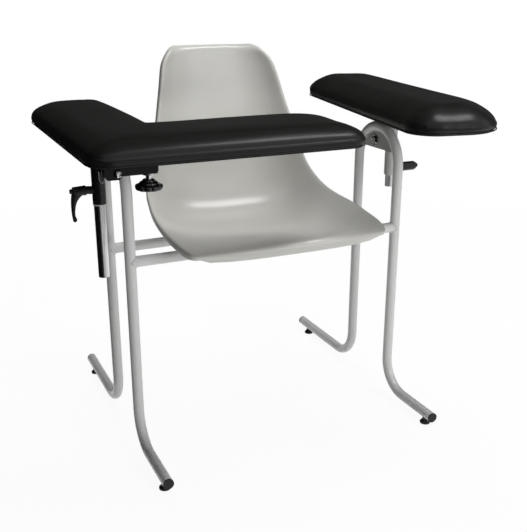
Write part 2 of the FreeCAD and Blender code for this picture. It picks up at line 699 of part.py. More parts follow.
def clamp_lever(label, side, clamp_z, out, quarter):
    """Lever on its screw: turned hub, hanging handle with a flared tip, screw end outside."""
    made = body(label)
    hub_r = s.hub_d / 2
    start = s.sleeve_d / 2 + s.clamp_boss_long + out
    end = start + s.hub_long
    tip = s.post_d / 2 + s.loose_gap
    screw_r = s.clamp_screw_d / 2
    turned = sketch(made, "XY")
    cap_r = s.lever_cap_d / 2
    path(turned, [
        (tip, ZERO), (tip, screw_r), (start, screw_r), (start, hub_r), (end, hub_r),
        (end, cap_r), (end + s.lever_cap_high, cap_r), (end + s.lever_cap_high, ZERO),
    ])
    revolve(made, turned, "H_Axis")
    for way in (1, -1):
        taper = sketch(made, "XY")
        path(taper, [
            (end - s.hub_taper_long, hub_r * way), (end, s.handle_thick * (way / 2)), (end, hub_r * way),
        ])
        pocket(made, taper, s.hub_d, both=True)
    handle = sketch(made, "XZ")
    drop = s.handle_drop
    back = end + s.lever_cap_high / 2
    neck_z = -(drop / 2)
    flare = s.handle_thick / 2
    path(handle, [
        (start + s.hub_long / 3, hub_r - s.loose_gap), (end - hub_r / 4, hub_r + hub_r / 3),
        (end + hub_r / 8, hub_r), (back, neck_z), (end - hub_r / 5, -drop),
        (end - flare, -(drop - flare)), (end - flare / 2, neck_z - flare),
        (end - hub_r, -(hub_r + flare)), (end - hub_r * 2, -hub_r), (start + s.hub_long / 3, -(hub_r - s.loose_gap)),
    ])
    pad(made, handle, s.handle_thick, both=True)
    turn = Rotation(Vector(0, 0, 1), 0 if side > 0 else 180)
    made.Placement = Placement(Vector(0, 0, 0), Rotation(Vector(1, 0, 0), quarter).multiply(turn))
    place(made, post_side * side, ZERO, clamp_z)
    return node(label, made)


def post(label, side, low, top):
    """Chromed tube with the collar that carries the arm."""
    x = post_side * side
    collar = rod(x, ZERO, top - s.collar_high, s.collar_d, s.collar_high)
    tube = rod(x, ZERO, low, s.post_d, top - low)
    bore = rod(x, ZERO, low - overrun, s.post_d - s.post_wall * 2, top - low + overrun * 2)
    through = rod(x, ZERO, top - s.collar_high - overrun, s.post_d + s.seat_gap * 2, overrun * 2)
    node(f"{label}_collar", cut(collar, through))
    return node(label, cut(tube, bore))


def build_posts():
    clamps = {
        -1: (s.left_clamp_axis, s.left_clamp_out, LEFT_LEVER_TURN),
        1: (s.right_clamp_axis, s.right_clamp_out, RIGHT_LEVER_TURN),
    }
    for name, side in SIDES:
        sleeve(f"{name}_sleeve", side, clamps[side][0])
        clamp_lever(f"{name}_clamp_lever", side, *clamps[side])
        sleeve_ring(f"{name}_sleeve_ring", side)
        sleeve_bracket(f"{name}_sleeve_bracket", side)
        bracket_bolt(f"{name}_bracket_bolt", side)
    post("left_post", -1, s.left_post_low, left_post_top)
    post("right_post", 1, s.right_post_low, right_post_top)


# Left arm: tube, hinge and levelling screw. Its own origin is the post's axis on the floor.

def left_arm():
    x = -post_side
    half = s.arm_wide / 2
    tube = block(x - half, -s.arm_front, s.arm_low, s.arm_wide, s.arm_front + s.arm_rear, s.arm_high)
    inside = block(x - half + s.arm_wall, -(s.arm_front + overrun), s.arm_low + s.arm_wall,
                   s.arm_wide - s.arm_wall * 2, s.arm_front + s.arm_rear - s.arm_wall + overrun,
                   s.arm_high - s.arm_wall * 2)
    spigot = rod(x, ZERO, s.arm_low - s.spigot_long, spigot_d, s.spigot_long + s.arm_wall)
    node("left_arm_tube", fused(cut(tube, inside), spigot))
    bumper_high = s.left_board_low - s.loose_gap - arm_top
    node("arm_bumper", rod(x, ZERO, arm_top, s.bumper_d, bumper_high))


def hinge_plate():
    """Plate with a tongue under the arm tube and the barrel that the pivot bolt turns in."""
    made = body("hinge_plate")
    low = s.arm_low - s.plate_thick
    tongue = s.arm_wide / 2
    left = -(s.pivot_side - s.pivot_d / 2)
    front, rear = -(s.hinge_back + barrel_half), -(s.hinge_back - barrel_half)
    back = -(s.arm_front - s.tongue_back)
    outline = sketch(made, "XY", low)
    path(outline, [
        (left, front), (s.plate_right, front), (s.plate_right, rear), (tongue, rear),
        (tongue, back), (-tongue, back), (-tongue, rear), (left, rear),
    ])
    pad(made, outline, s.plate_thick)
    barrel = sketch(made, "XZ", s.hinge_back)
    circle(barrel, -s.pivot_side, s.pivot_axis, s.barrel_d)
    pad(made, barrel, barrel_half * 2, both=True)
    bore = sketch(made, "XZ", s.hinge_back)
    circle(bore, -s.pivot_side, s.pivot_axis, s.pivot_d + s.fit_gap * 2)
    pocket(made, bore, s.channel_wide * 2, both=True)
    hole = sketch(made, "XY", low)
    circle(hole, s.stud_side, -s.hinge_back, s.stud_d + s.fit_gap * 2)
    pocket(made, hole, s.plate_thick * 2, both=True)
    place(made, -post_side)
    return node("hinge_plate", made)


def levelling_screw():
    x = s.stud_side - post_side
    y = -s.hinge_back
    plate_low = s.arm_low - s.plate_thick
    thread = s.stud_d + s.fit_gap * 2
    flange = rod(x, y, plate_low - s.weld_nut_high, s.weld_nut_d, s.weld_nut_high)
    node("weld_nut", cut(flange, rod(x, y, plate_low - overrun, thread, overrun * 2)))
    web_low = s.left_board_low - s.channel_wall
    stud = rod(x, y, s.stud_low, s.stud_d, web_low - s.loose_gap - s.stud_low)
    node("levelling_stud", stud)


def levelling_knob():
    """Lobed knob: a turned body with hollows between its lobes, and a blind bore for the stud."""
    made = body("levelling_knob")
    rim, hub = s.knob_d / 2, s.knob_hub_d / 2
    soft = s.knob_rim_high / 4
    top = s.knob_rim_high + s.knob_hub_high
    outline = sketch(made, "XZ")
    path(outline, [
        (ZERO, ZERO), (rim - soft, ZERO), (rim, soft), (rim, s.knob_rim_high - soft),
        (rim - soft, s.knob_rim_high), (hub, s.knob_rim_high), (hub - soft, top), (ZERO, top),
    ], {1: ((rim - soft, soft), 1), 3: ((rim - soft, s.knob_rim_high - soft), 1)})
    revolve(made, outline)
    hollow = sketch(made, "XY")
    circle(hollow, rim + s.knob_notch_d / 5, ZERO, s.knob_notch_d)
    first = pocket(made, hollow, top, back=True)
    ring = made.newObject("PartDesign::PolarPattern", "knob_hollows")
    ring.Originals = [first]
    ring.Axis = (hollow, ["N_Axis"])
    ring.Angle = 360.0
    ring.Occurrences = KNOB_LOBES
    made.Tip = ring
    bore = sketch(made, "XY", s.stud_low - s.knob_low)
    circle(bore, ZERO, ZERO, s.stud_d + s.fit_gap * 2)
    pocket(made, bore, top, back=True)
    place(made, s.stud_side - post_side, -s.hinge_back, s.knob_low)
    return node("levelling_knob", made)


def hinge_channel():
    """Inverted channel under the left board, its flanges deeper at the pivot ears."""
    made = body("hinge_channel")
    top = s.left_board_low
    side = sketch(made, "XZ", s.hinge_back)
    path(side, [
        (-s.channel_left, s.ear_low), (-s.ear_right, s.ear_low), (-s.ear_right, s.flange_low),
        (s.channel_right, s.flange_low), (s.channel_right, top), (-s.channel_left, top),
    ])
    pad(made, side, s.channel_wide, both=True)
    inside = sketch(made, "XY", s.ear_low)
    box_outline(inside, -(s.channel_left + overrun), s.channel_right + overrun,
                -(s.hinge_back + hinge_inside), -(s.hinge_back - hinge_inside))
    pocket(made, inside, top - s.channel_wall - s.ear_low, back=True)
    names = edges_where(made, lambda middle, edge: abs(middle.z - s.ear_low.value) < 0.01
                        and abs(edge.tangentAt(edge.FirstParameter).y) > 0.999)
    fillet(made, names, s.ear_round)
    pivot = sketch(made, "XZ", s.hinge_back)
    circle(pivot, -s.pivot_side, s.pivot_axis, s.pivot_d + s.fit_gap * 2)
    pocket(made, pivot, s.channel_wide * 2, both=True)
    holes = sketch(made, "XY", top)
    for x in channel_screw_places():
        circle(holes, x, -s.hinge_back, s.screw_d + s.fit_gap * 2)
    pocket(made, holes, s.channel_wall * 2, both=True)
    place(made, -post_side)
    return node("hinge_channel", made)


def channel_screw_places():
    return (s.screw_head_d - s.channel_left, ZERO, s.stud_side - s.screw_head_d * 3 / 2)


def pivot_bolt():
    """Slotted pan-head bolt through both ears, with its nut behind."""
    made = body("pivot_bolt")
    front = s.channel_wide / 2
    head_r = s.pivot_head_d / 2
    shank_r = s.pivot_d / 2
    end = -(front + s.pivot_nut_high + s.channel_wall / 2)
    edge = front + s.pivot_head_high / 3
    crown = front + s.pivot_head_high
    outline = sketch(made, "XY")
    path(outline, [
        (ZERO, end), (shank_r, end), (shank_r, front), (head_r, front), (head_r, edge),
        (head_r * 3 / 5, crown), (ZERO, crown),
    ])
    revolve(made, outline)
    slot = sketch(made, "XZ", -crown)
    box_outline(slot, -s.pivot_head_d, s.pivot_head_d, -(s.slot_wide / 2), s.slot_wide / 2)
    pocket(made, slot, s.slot_deep)
    place(made, -(post_side + s.pivot_side), -s.hinge_back, s.pivot_axis, (0, 0, 1), 180)
    node("pivot_bolt", made)
    x = -(post_side + s.pivot_side)
    rear = s.channel_wide / 2 - s.hinge_back
    nut = hexagon(x, rear, s.pivot_axis, s.pivot_nut_d, s.pivot_nut_high, "y")
    hole = rod(x, rear - overrun, s.pivot_axis, s.pivot_d + s.fit_gap * 2, overrun * 2, "y")
    node("pivot_nut", cut(nut, hole))


def wood_screws(label, places, head_top, frame=None):
    """Screws driven up into a board, heads below; places are their axes."""
    screws = []
    for x, y in places:
        head = rod(x, y, head_top - s.screw_head_high, s.screw_head_d, s.screw_head_high)
        shank = rod(x, y, head_top, s.screw_d, frame + s.screw_deep - head_top)
        screws.append(fused(head, shank))
    return node(label, group(*screws))


# Boards, edge bands and pads. Outlines are lists of corners: place, rounding and which way the
# outline moves inwards there.

def left_corners():
    left, front = -(post_side + s.l_left), -s.l_front
    short, end = s.l_short_right - post_side, s.l_long_right - post_side
    return [
        (left, front, s.l_corner, 1, 1), (end, front, s.l_corner, -1, 1),
        (end, -s.l_long_back, s.l_end_corner, -1, -1), (short, -s.l_long_back, s.l_notch, -1, -1),
        (short, s.l_rear, s.l_tail_inner, -1, -1), (left, s.l_rear, s.l_tail_outer, 1, -1),
    ]


def right_corners():
    inner, outer = -s.straight_half, s.straight_half
    return [
        (inner, -s.straight_front, s.straight_inner_corner, 1, 1),
        (outer, -s.straight_front, s.straight_outer_corner, -1, 1),
        (outer, s.straight_rear, s.straight_rear_corner, -1, -1),
        (inner, s.straight_rear, s.straight_rear_corner, 1, -1),
    ]


def rounded_outline(corners, inset, z):
    """A closed wire of lines and arcs inside the corners, at height z."""
    points = []
    for x, y, radius, move_x, move_y in corners:
        points.append((Vector(x.value + move_x * inset, y.value + move_y * inset, z), radius.value))
    stops = []
    for number, (corner, radius) in enumerate(points):
        before = (points[number - 1][0] - corner).normalize()
        after = (points[(number + 1) % len(points)][0] - corner).normalize()
        inside_corner = before.cross(after).z > 0
        tighter = max(radius - inset, radius * LEAST_ROUND_SHARE)
        softened = radius + inset * NOTCH_SPREAD if inside_corner else tighter
        middle = (before + after).normalize() * (softened * (math.sqrt(2) - 1))
        stops.append((corner + before * softened, corner + middle, corner + after * softened))
    edges = []
    for number, (start, middle, end) in enumerate(stops):
        edges.append(Part.Arc(start, middle, end).toShape())
        edges.append(Part.LineSegment(end, stops[(number + 1) % len(stops)][0]).toShape())
    return Part.Wire(edges)


def slab(corners, inset, low, high):
    wire = rounded_outline(corners, inset, low)
    return Part.Face(wire).extrude(Vector(0, 0, high))


def cushion(corners, low, high, crown, power):
    """Crowned cushion: drawn in at its seam, bulging at its side, rounded over to its top."""
    widest = low + s.bulge_high.value
    levels = [(low, s.seam_in.value), (low + s.bulge_low.value, s.bulge_in.value)]
    for turn in CROWN_TURNS:
        rise = math.sin(math.radians(turn)) ** (2 / power)
        inset = 1 - math.cos(math.radians(turn)) ** (2 / power)
        levels.append((widest + (low + high - widest) * rise, crown * inset))
    return Part.makeLoft([rounded_outline(corners, inset, z) for z, inset in levels], True, False)


def shaped(label, shape, turn=None):
    """A sub-part whose shape is worked out here; turn swings it about the right post."""
    made = doc.addObject("Part::Feature", label)
    made.Shape = shape
    if turn is not None:
        made.Placement = turn
    return node(label, made)


def screw_holes(board, places, low):
    hole_r = s.screw_d.value / 2 + s.fit_gap.value
    for x, y in places:
        start = Vector(x.value, y.value, low - s.loose_gap.value)
        board = board.cut(Part.makeCylinder(hole_r, s.screw_deep.value + s.loose_gap.value, start))
    return board


def arm_top_pieces(name, corners, board_low, places, crowned, turn=None):
    """Board, edge band and pad of one arm; crowned is the pad's height, rounding and power."""
    low = board_low.value
    thick = s.board_thick.value
    board = screw_holes(slab(corners, board_inset.value, low, thick), places, low)
    band_low = low + s.band_low.value
    groove = slab(corners, board_inset.value + s.band_high.value, band_low, s.band_high.value)
    band = slab(corners, s.band_out.value, band_low, s.band_high.value)
    rebate = band.cut(groove)
    shaped(f"{name}_board", board.cut(rebate), turn)
    shaped(f"{name}_edge_band", rebate, turn)
    high, crown, power = crowned
    shaped(f"{name}_pad", cushion(corners, low + thick, high.value - thick, crown.value, power), turn)


def build_left_arm():
    left_arm()
    hinge_plate()
    levelling_screw()
    levelling_knob()
    hinge_channel()
    pivot_bolt()
    places = [(x - post_side, -s.hinge_back) for x in channel_screw_places()]
    wood_screws("channel_screws", places, s.left_board_low - s.channel_wall, s.left_board_low)
    crowned = (s.left_pad_high, s.left_crown, LEFT_CROWN_POWER)
    arm_top_pieces("left_arm", left_corners(), s.left_board_low, places, crowned)


def build_right_arm():
    turn = Placement(Vector(post_side.value, 0, 0), Rotation(Vector(0, 0, 1), RIGHT_ARM_TURN))
    half_x, half_y = s.mount_plate_wide / 2, s.mount_plate_long / 2
    screw_x, screw_y = half_x - s.mount_inset, half_y - s.mount_inset
    places = [(screw_x * a, screw_y * b) for a in (-1, 1) for b in (-1, 1)]
    plate = body("right_mount_plate")
    outline = sketch(plate, "XY", mount_low)
    box_outline(outline, -half_x, half_x, -half_y, half_y)
    pad(plate, outline, s.mount_plate_thick)
    fillet(plate, edges_where(plate, upright), s.mount_corner)
    peg = sketch(plate, "XY", mount_low)
    circle(peg, ZERO, ZERO, spigot_d)
    pad(plate, peg, s.spigot_long, back=True)
    holes = sketch(plate, "XY", mount_low)
    for x, y in places:
        circle(holes, x, y, s.screw_d + s.fit_gap * 2)
    pocket(plate, holes, s.mount_plate_thick, back=True)
    node("right_mount_plate", plate)
    screws = wood_screws("right_plate_screws", places, mount_low, s.right_board_low)
    for piece in (plate, screws):
        place(piece, post_side, ZERO, ZERO, (0, 0, 1), RIGHT_ARM_TURN)
    crowned = (s.right_pad_high, s.right_crown, RIGHT_CROWN_POWER)
    arm_top_pieces("right_arm", right_corners(), s.right_board_low, places, crowned, turn)


# Seat

def rim_section(row, above, below):
    """Closed section of the shell: from 'below' under the sitting surface to 'above' over it."""
    along, height, wide, dish, tilt, rim = row
    centre = Vector(0, s.seat_deep.value * along - s.seat_front.value, s.seat_low.value + s.back_high.value * height)
    lean = math.radians(tilt)
    up = Vector(0, -math.sin(lean), math.cos(lean))
    half = s.seat_half.value * wide
    line = []
    for across, rise in DISH_SHARES:
        line.append((half * across, s.dish_deep.value * dish * rise))
    crest = line[-1]
    for across, drop in RIM_SHARES:
        line.append((crest[0] + s.rim_out.value * across * rim, crest[1] - s.rim_drop.value * drop * rim))
    top = offset_line(line, above)
    under = offset_line(line, -below)
    return [centred(points, centre, up) for points in (top, under)]


def offset_line(line, distance):
    """The half section moved square to itself."""
    moved = []
    for number, (x, y) in enumerate(line):
        before = line[max(number - 1, 0)]
        after = line[min(number + 1, len(line) - 1)]
        dx, dy = after[0] - before[0], after[1] - before[1]
        if number == 0:
            dy = 0
        length = math.hypot(dx, dy)
        moved.append((x - dy / length * distance, y + dx / length * distance))
    return moved


def centred(points, centre, up):
    """Both halves of a section as one smooth curve."""
    full = [(-x, y) for x, y in reversed(points[1:])] + points
    curve = Part.BSplineCurve()
    curve.buildFromPoles([centre + Vector(x, 0, 0) + up * y for x, y in full], False, 3)
    return curve


def shell_between(rows, above, below):
    wires = []
    for row in rows:
        top, under = rim_section(row, above, below)
        ends = [Part.LineSegment(top.EndPoint, under.EndPoint).toShape(),
                Part.LineSegment(under.StartPoint, top.StartPoint).toShape()]
        wires.append(Part.Wire([top.toShape(), ends[0], under.toShape(), ends[1]]))
    return Part.makeLoft(wires, True, False)


def rail_frame():
    """The rails' own frame: midway between the crossbars, tilted with them."""
    lean = math.degrees(math.atan2(s.rear_bar_axis.value - s.front_bar_axis.value, 2 * s.leg_half.value))
    middle = (s.front_bar_axis.value + s.rear_bar_axis.value) / 2
    return Placement(Vector(0, 0, middle), Rotation(Vector(1, 0, 0), lean))


def build_seat():
    tilt = rail_frame()
    rail_low = tube_r.value
    rail_top = rail_low + s.rail_thick.value
    rubber_top = rail_top + s.rubber_high.value
    places = [(s.rail_side.value * a, s.seat_screw_side.value * b) for a in (-1, 1) for b in (-1, 1)]
    screw_r = s.seat_screw_d.value / 2
    hole_r = screw_r + s.fit_gap.value
    run = math.hypot(s.leg_half.value, (s.front_bar_axis.value - s.rear_bar_axis.value) / 2) + s.rail_over.value
    holes = [Part.makeCylinder(hole_r, overrun.value * 2, Vector(x, y, -overrun.value)) for x, y in places]
    for name, side in SIDES:
        corner = Vector(s.rail_side.value * side - s.rail_wide.value / 2, -run, rail_low)
        rail = Part.makeBox(s.rail_wide.value, run * 2, s.rail_thick.value, corner)
        corners = [edge for edge in rail.Edges if abs(edge.tangentAt(0).z) > 0.999]
        rail = rail.makeFillet(s.rail_wide.value / 4, corners)
        for hole in holes:
            rail = rail.cut(hole)
        shaped(f"{name}_seat_rail", rail, tilt)
    rubbers, screws, bosses = [], [], []
    for (x, y), hole in zip(places, holes):
        rubber = Part.makeCylinder(s.rubber_d.value / 2, s.rubber_high.value, Vector(x, y, rail_top))
        rubbers.append(rubber.cut(hole))
        head = Part.makeCylinder(s.seat_head_d.value / 2, s.seat_head_high.value,
                                 Vector(x, y, rail_low - s.seat_head_high.value))
        shank = Part.makeCylinder(screw_r, s.seat_screw_long.value, Vector(x, y, rail_low))
        screws.append(head.fuse(shank))
        bosses.append(Part.makeCylinder(s.boss_d.value / 2, overrun.value, Vector(x, y, rubber_top)))
    shaped("seat_rubbers", Part.makeCompound(rubbers), tilt)
    shell = shell_between(SEAT_SHARES, 0, s.shell_thick.value)
    pan = [row for row in SEAT_SHARES if 0.05 < row[0] < 0.75]
    over = shell_between(pan, overrun.value * 2, s.shell_thick.value / 2)
    past_screw = shell_between(pan, overrun.value * 2, s.shell_thick.value / 2 + s.loose_gap.value)
    blind = s.seat_screw_long.value + s.loose_gap.value + rail_low
    kept = []
    for screw, boss, (x, y) in zip(screws, bosses, places):
        for piece in (screw, boss):
            piece.Placement = tilt.multiply(piece.Placement)
        kept.append(screw.cut(past_screw))
        shell = shell.fuse(boss.cut(over))
        bore = Part.makeCylinder(hole_r, blind - rubber_top + s.loose_gap.value,
                                 Vector(x, y, rubber_top - s.loose_gap.value))
        bore.Placement = tilt.multiply(bore.Placement)
        shell = shell.cut(bore.cut(over))
    shaped("seat_screws", Part.makeCompound(kept))
    shaped("seat_shell", shell)


def write_parts():
    """Checks every object and writes each sub-part's shape."""
    doc.recompute()
    for item in doc.Objects:
        if "Invalid" in item.State or "Error" in item.State:
            raise RuntimeError(f"{item.Name} {item.Label} failed: {item.State}")
    os.makedirs("parts", exist_ok=True)
    for item in NODES:
        if item.Shape.isNull() or not item.Shape.isValid():
            raise RuntimeError(f"{item.Label} has no valid shape")
        item.Shape.exportStep(f"parts/{item.Label}.step")
        print(f"{item.Label:24s} solids {len(item.Shape.Solids)}  volume {item.Shape.Volume:12.1f}")


build_frame()
build_posts()
build_left_arm()
build_right_arm()
build_seat()
write_parts()
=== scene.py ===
"""Blood-drawing chair: padded tops, levers, knob, welds, finishes and studio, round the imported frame."""

import json
import math

import bmesh
import bpy
from mathutils import Matrix, Vector
from mathutils.kdtree import KDTree

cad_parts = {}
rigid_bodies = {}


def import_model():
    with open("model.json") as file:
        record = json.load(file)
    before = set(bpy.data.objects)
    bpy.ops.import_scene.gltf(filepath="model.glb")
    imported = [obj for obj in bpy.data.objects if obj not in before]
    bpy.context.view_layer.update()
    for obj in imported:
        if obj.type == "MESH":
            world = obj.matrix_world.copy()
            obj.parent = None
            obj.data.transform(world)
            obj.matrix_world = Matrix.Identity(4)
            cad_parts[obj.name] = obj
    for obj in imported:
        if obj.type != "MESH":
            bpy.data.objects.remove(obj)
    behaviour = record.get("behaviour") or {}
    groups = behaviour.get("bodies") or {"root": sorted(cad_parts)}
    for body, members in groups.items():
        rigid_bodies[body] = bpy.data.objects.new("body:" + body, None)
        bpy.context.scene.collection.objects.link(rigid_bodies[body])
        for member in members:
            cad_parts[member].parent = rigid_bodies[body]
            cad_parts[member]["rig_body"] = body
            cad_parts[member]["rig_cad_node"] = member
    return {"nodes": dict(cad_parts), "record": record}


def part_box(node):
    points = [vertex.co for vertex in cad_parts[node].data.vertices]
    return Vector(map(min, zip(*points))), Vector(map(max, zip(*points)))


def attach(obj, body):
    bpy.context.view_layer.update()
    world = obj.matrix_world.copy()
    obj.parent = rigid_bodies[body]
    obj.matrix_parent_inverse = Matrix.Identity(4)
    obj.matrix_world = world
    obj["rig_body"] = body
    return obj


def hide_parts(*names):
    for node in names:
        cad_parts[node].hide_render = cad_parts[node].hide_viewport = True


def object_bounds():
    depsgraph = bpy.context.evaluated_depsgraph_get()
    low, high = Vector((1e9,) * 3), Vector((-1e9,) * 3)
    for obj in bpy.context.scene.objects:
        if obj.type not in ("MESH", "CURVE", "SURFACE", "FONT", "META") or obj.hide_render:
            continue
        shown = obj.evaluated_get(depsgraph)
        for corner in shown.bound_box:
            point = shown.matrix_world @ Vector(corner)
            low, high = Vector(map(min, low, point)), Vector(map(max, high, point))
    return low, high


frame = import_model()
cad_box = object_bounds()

bl_info = {
    "name": "Blood-drawing chair",
    "version": (1, 0, 0),
    "blender": (4, 5, 0),
    "location": "3D View > Sidebar > Chair",
    "description": "Padded tops, clamp levers, knob, welds, finishes and studio for the packed chair",
    "category": "Object",
}

MM = 0.001
END_FACING = 0.9            # a face looks along x where its normal's x is more than this
SHARP_ANGLE = 40            # edges sharper than this are rounded, degrees
SAME_PLACE = 1e-5           # points nearer than this are one


# Settings that a user would change

def tint(name, text, default):
    """A colour that a user can change."""
    return bpy.props.FloatVectorProperty(
        name=name, description=text, subtype="COLOR", size=3, min=0, max=1, default=default)


def length(name, text, least, most, default):
    """A length that a user can change."""
    return bpy.props.FloatProperty(
        name=name, description=text, subtype="DISTANCE", unit="LENGTH", min=least, max=most,
        default=default)


def watts(name, text, default):
    """A lamp's power that a user can change."""
    return bpy.props.FloatProperty(
        name=name, description=text, subtype="POWER", unit="POWER", min=0, default=default)


class ChairFinishes(bpy.types.PropertyGroup):
    """Colours of the chair's finishes."""

    enamel: tint("Frame enamel", "Light grey enamel on the tube frame", (0.545, 0.553, 0.543))
    seat: tint("Seat plastic", "Moulded plastic of the seat shell", (0.47, 0.465, 0.438))
    vinyl: tint("Vinyl", "Cover of the padded tops", (0.0088, 0.0088, 0.0084))
    black: tint("Black mouldings", "Levers, knob, plugs and glides", (0.008, 0.008, 0.008))
    chrome: tint("Chrome", "Posts, stud and hinge screw", (0.78, 0.78, 0.79))
    zinc: tint("Zinc plate", "Bolts, nuts and screws", (0.62, 0.62, 0.61))


class ChairPads(bpy.types.PropertyGroup):
    """How the padded tops are stuffed and sewn."""

    slack: length("Slack", "How much smaller the cover is cut than the stuffed pad", 0, 0.01, 0.0012)
    swell: length("Swell", "Most that the stuffing pushes the cover out", 0, 0.02, 0.0025)
    pressure: bpy.props.FloatProperty(
        name="Stuffing", description="Pressure of the stuffing on the cover", min=0, max=20, default=4.0)
    voxel: length("Mesh size", "Face size of the pad's mesh", 0.003, 0.01, 0.005)
    piping: length("Piping", "Radius of the piping round a pad's lower edge", 0.0005, 0.004, 0.0016)


class ChairMouldings(bpy.types.PropertyGroup):
    """Sizes of the levers and the levelling knob."""

    lever_wide: length("Lever width", "Clamp lever's handle across", 0.004, 0.02, 0.0105)
    knob_lobes: bpy.props.IntProperty(
        name="Knob lobes", description="Lobes round the levelling knob", min=3, max=16, default=11)
    lobe_depth: length("Lobe depth", "Depth of the hollows between the lobes", 0, 0.01, 0.0022)


class ChairStudio(bpy.types.PropertyGroup):
    """Camera and lamps."""

    lens: bpy.props.FloatProperty(
        name="Lens", description="Focal length", subtype="DISTANCE_CAMERA", min=20, max=200,
        default=54.17)
    key: watts("Key lamp", "Softbox high up, a little in front and to the right", 25)
    front: watts("Front lamps", "Tall strip and soft lamp in front on the right", 25)
    top: watts("Top lamp", "Lamp overhead", 21)
    rear: watts("Rear lamp", "Lamp high up behind", 34)
    low: watts("Low lamp", "Lamp low down in front, for the legs", 25)
    room: bpy.props.FloatProperty(
        name="Room light", description="Light from all round", min=0, max=2, default=0.03)


# Working in edit mode, as by hand

def take(piece):
    """Makes this piece the only one selected."""
    bpy.ops.object.select_all(action="DESELECT")
    piece.select_set(True)
    bpy.context.view_layer.objects.active = piece
    return piece


def drop_all():
    """Nothing is selected when a new piece is added."""
    bpy.ops.object.select_all(action="DESELECT")


def edit_all():
    """Enters edit mode with all of the active piece selected."""
    bpy.ops.object.mode_set(mode="EDIT")
    bpy.ops.mesh.select_all(action="SELECT")


def close_up():
    """Turns all faces outwards and leaves edit mode."""
    bpy.ops.mesh.select_all(action="SELECT")
    bpy.ops.mesh.normals_make_consistent(inside=False)
    bpy.ops.object.mode_set(mode="OBJECT")


def apply_place():
    """Takes the selected piece's place, turn and scale into its mesh."""
    bpy.ops.object.transform_apply(location=True, rotation=True, scale=True)


def apply_modifier(piece, name, kind, **settings):
    """Gives the active piece a modifier with these settings and applies it."""
    made = piece.modifiers.new(name, kind)
    for key, value in settings.items():
        setattr(made, key, value)
    bpy.ops.object.modifier_apply(modifier=made.name)


def edit_end(piece):
    """Enters edit mode with only the faces selected that look along x."""
    take(piece)
    bpy.ops.object.mode_set(mode="EDIT")
    bpy.ops.mesh.select_all(action="DESELECT")
    bpy.ops.mesh.select_mode(type="FACE")
    mesh = bmesh.from_edit_mesh(piece.data)
    mesh.normal_update()
    for face in mesh.faces:
        face.select_set(face.normal.x > END_FACING)
    mesh.select_flush_mode()
    bmesh.update_edit_mesh(piece.data)


def rod(measures, reach=0.0, sides=48):
    """A cylinder along x from its start, end and radius in mm; reach is added to its end."""
    start, end, radius = measures
    low, high = start * MM, end * MM + reach
    drop_all()
    bpy.ops.mesh.primitive_cylinder_add(
        vertices=sides, radius=radius * MM, depth=high - low,
        location=((low + high) / 2, 0, 0), rotation=(0, math.pi / 2, 0))
    apply_place()
    return bpy.context.object


def round_edges(piece, width, segments=3):
    """Rounds the sharp edges of a piece."""
    take(piece)
    apply_modifier(
        piece, "Rounded edges", "BEVEL", width=width, segments=segments,
        limit_method="ANGLE", angle_limit=math.radians(SHARP_ANGLE))


def subdivide(piece, levels):
    """Smooths a piece by subdivision."""
    take(piece)
    apply_modifier(piece, "Subdivision", "SUBSURF", levels=levels, render_levels=levels)


def join(*pieces):
    """Joins pieces into the first."""
    drop_all()
    for piece in pieces:
        piece.select_set(True)
    bpy.context.view_layer.objects.active = pieces[0]
    bpy.ops.object.join()
    return pieces[0]


def copy_of(piece):
    """A copy with its own mesh."""
    made = piece.copy()
    made.data = piece.data.copy()
    bpy.context.scene.collection.objects.link(made)
    return made


def bare_copy(node):
    """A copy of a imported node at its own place, on no body, active."""
    made = copy_of(frame["nodes"][node])
    made.parent = None
    made.matrix_world = Matrix.Identity(4)
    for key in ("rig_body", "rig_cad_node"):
        if key in made:
            del made[key]
    return take(made)


def moved(piece, matrix):
    """Moves a piece by a matrix and keeps the place in its mesh."""
    piece.data.transform(matrix)
    piece.data.update()
    return piece


def complete(piece, name, body, slot, finish=None, angle=35):
    """Names a piece, gives it its finish, or else its slot's, and lets it ride on its body."""
    piece.name = name
    piece.data.name = name
    take(piece)
    apply_place()
    if angle is None:
        bpy.ops.object.shade_smooth()
    else:
        bpy.ops.object.shade_smooth_by_angle(angle=math.radians(angle))
    piece.data.materials.clear()
    piece.data.materials.append(finish_named(finish or slot))
    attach(piece, body)
    return piece


# Finishes: node materials on the object's own coordinates

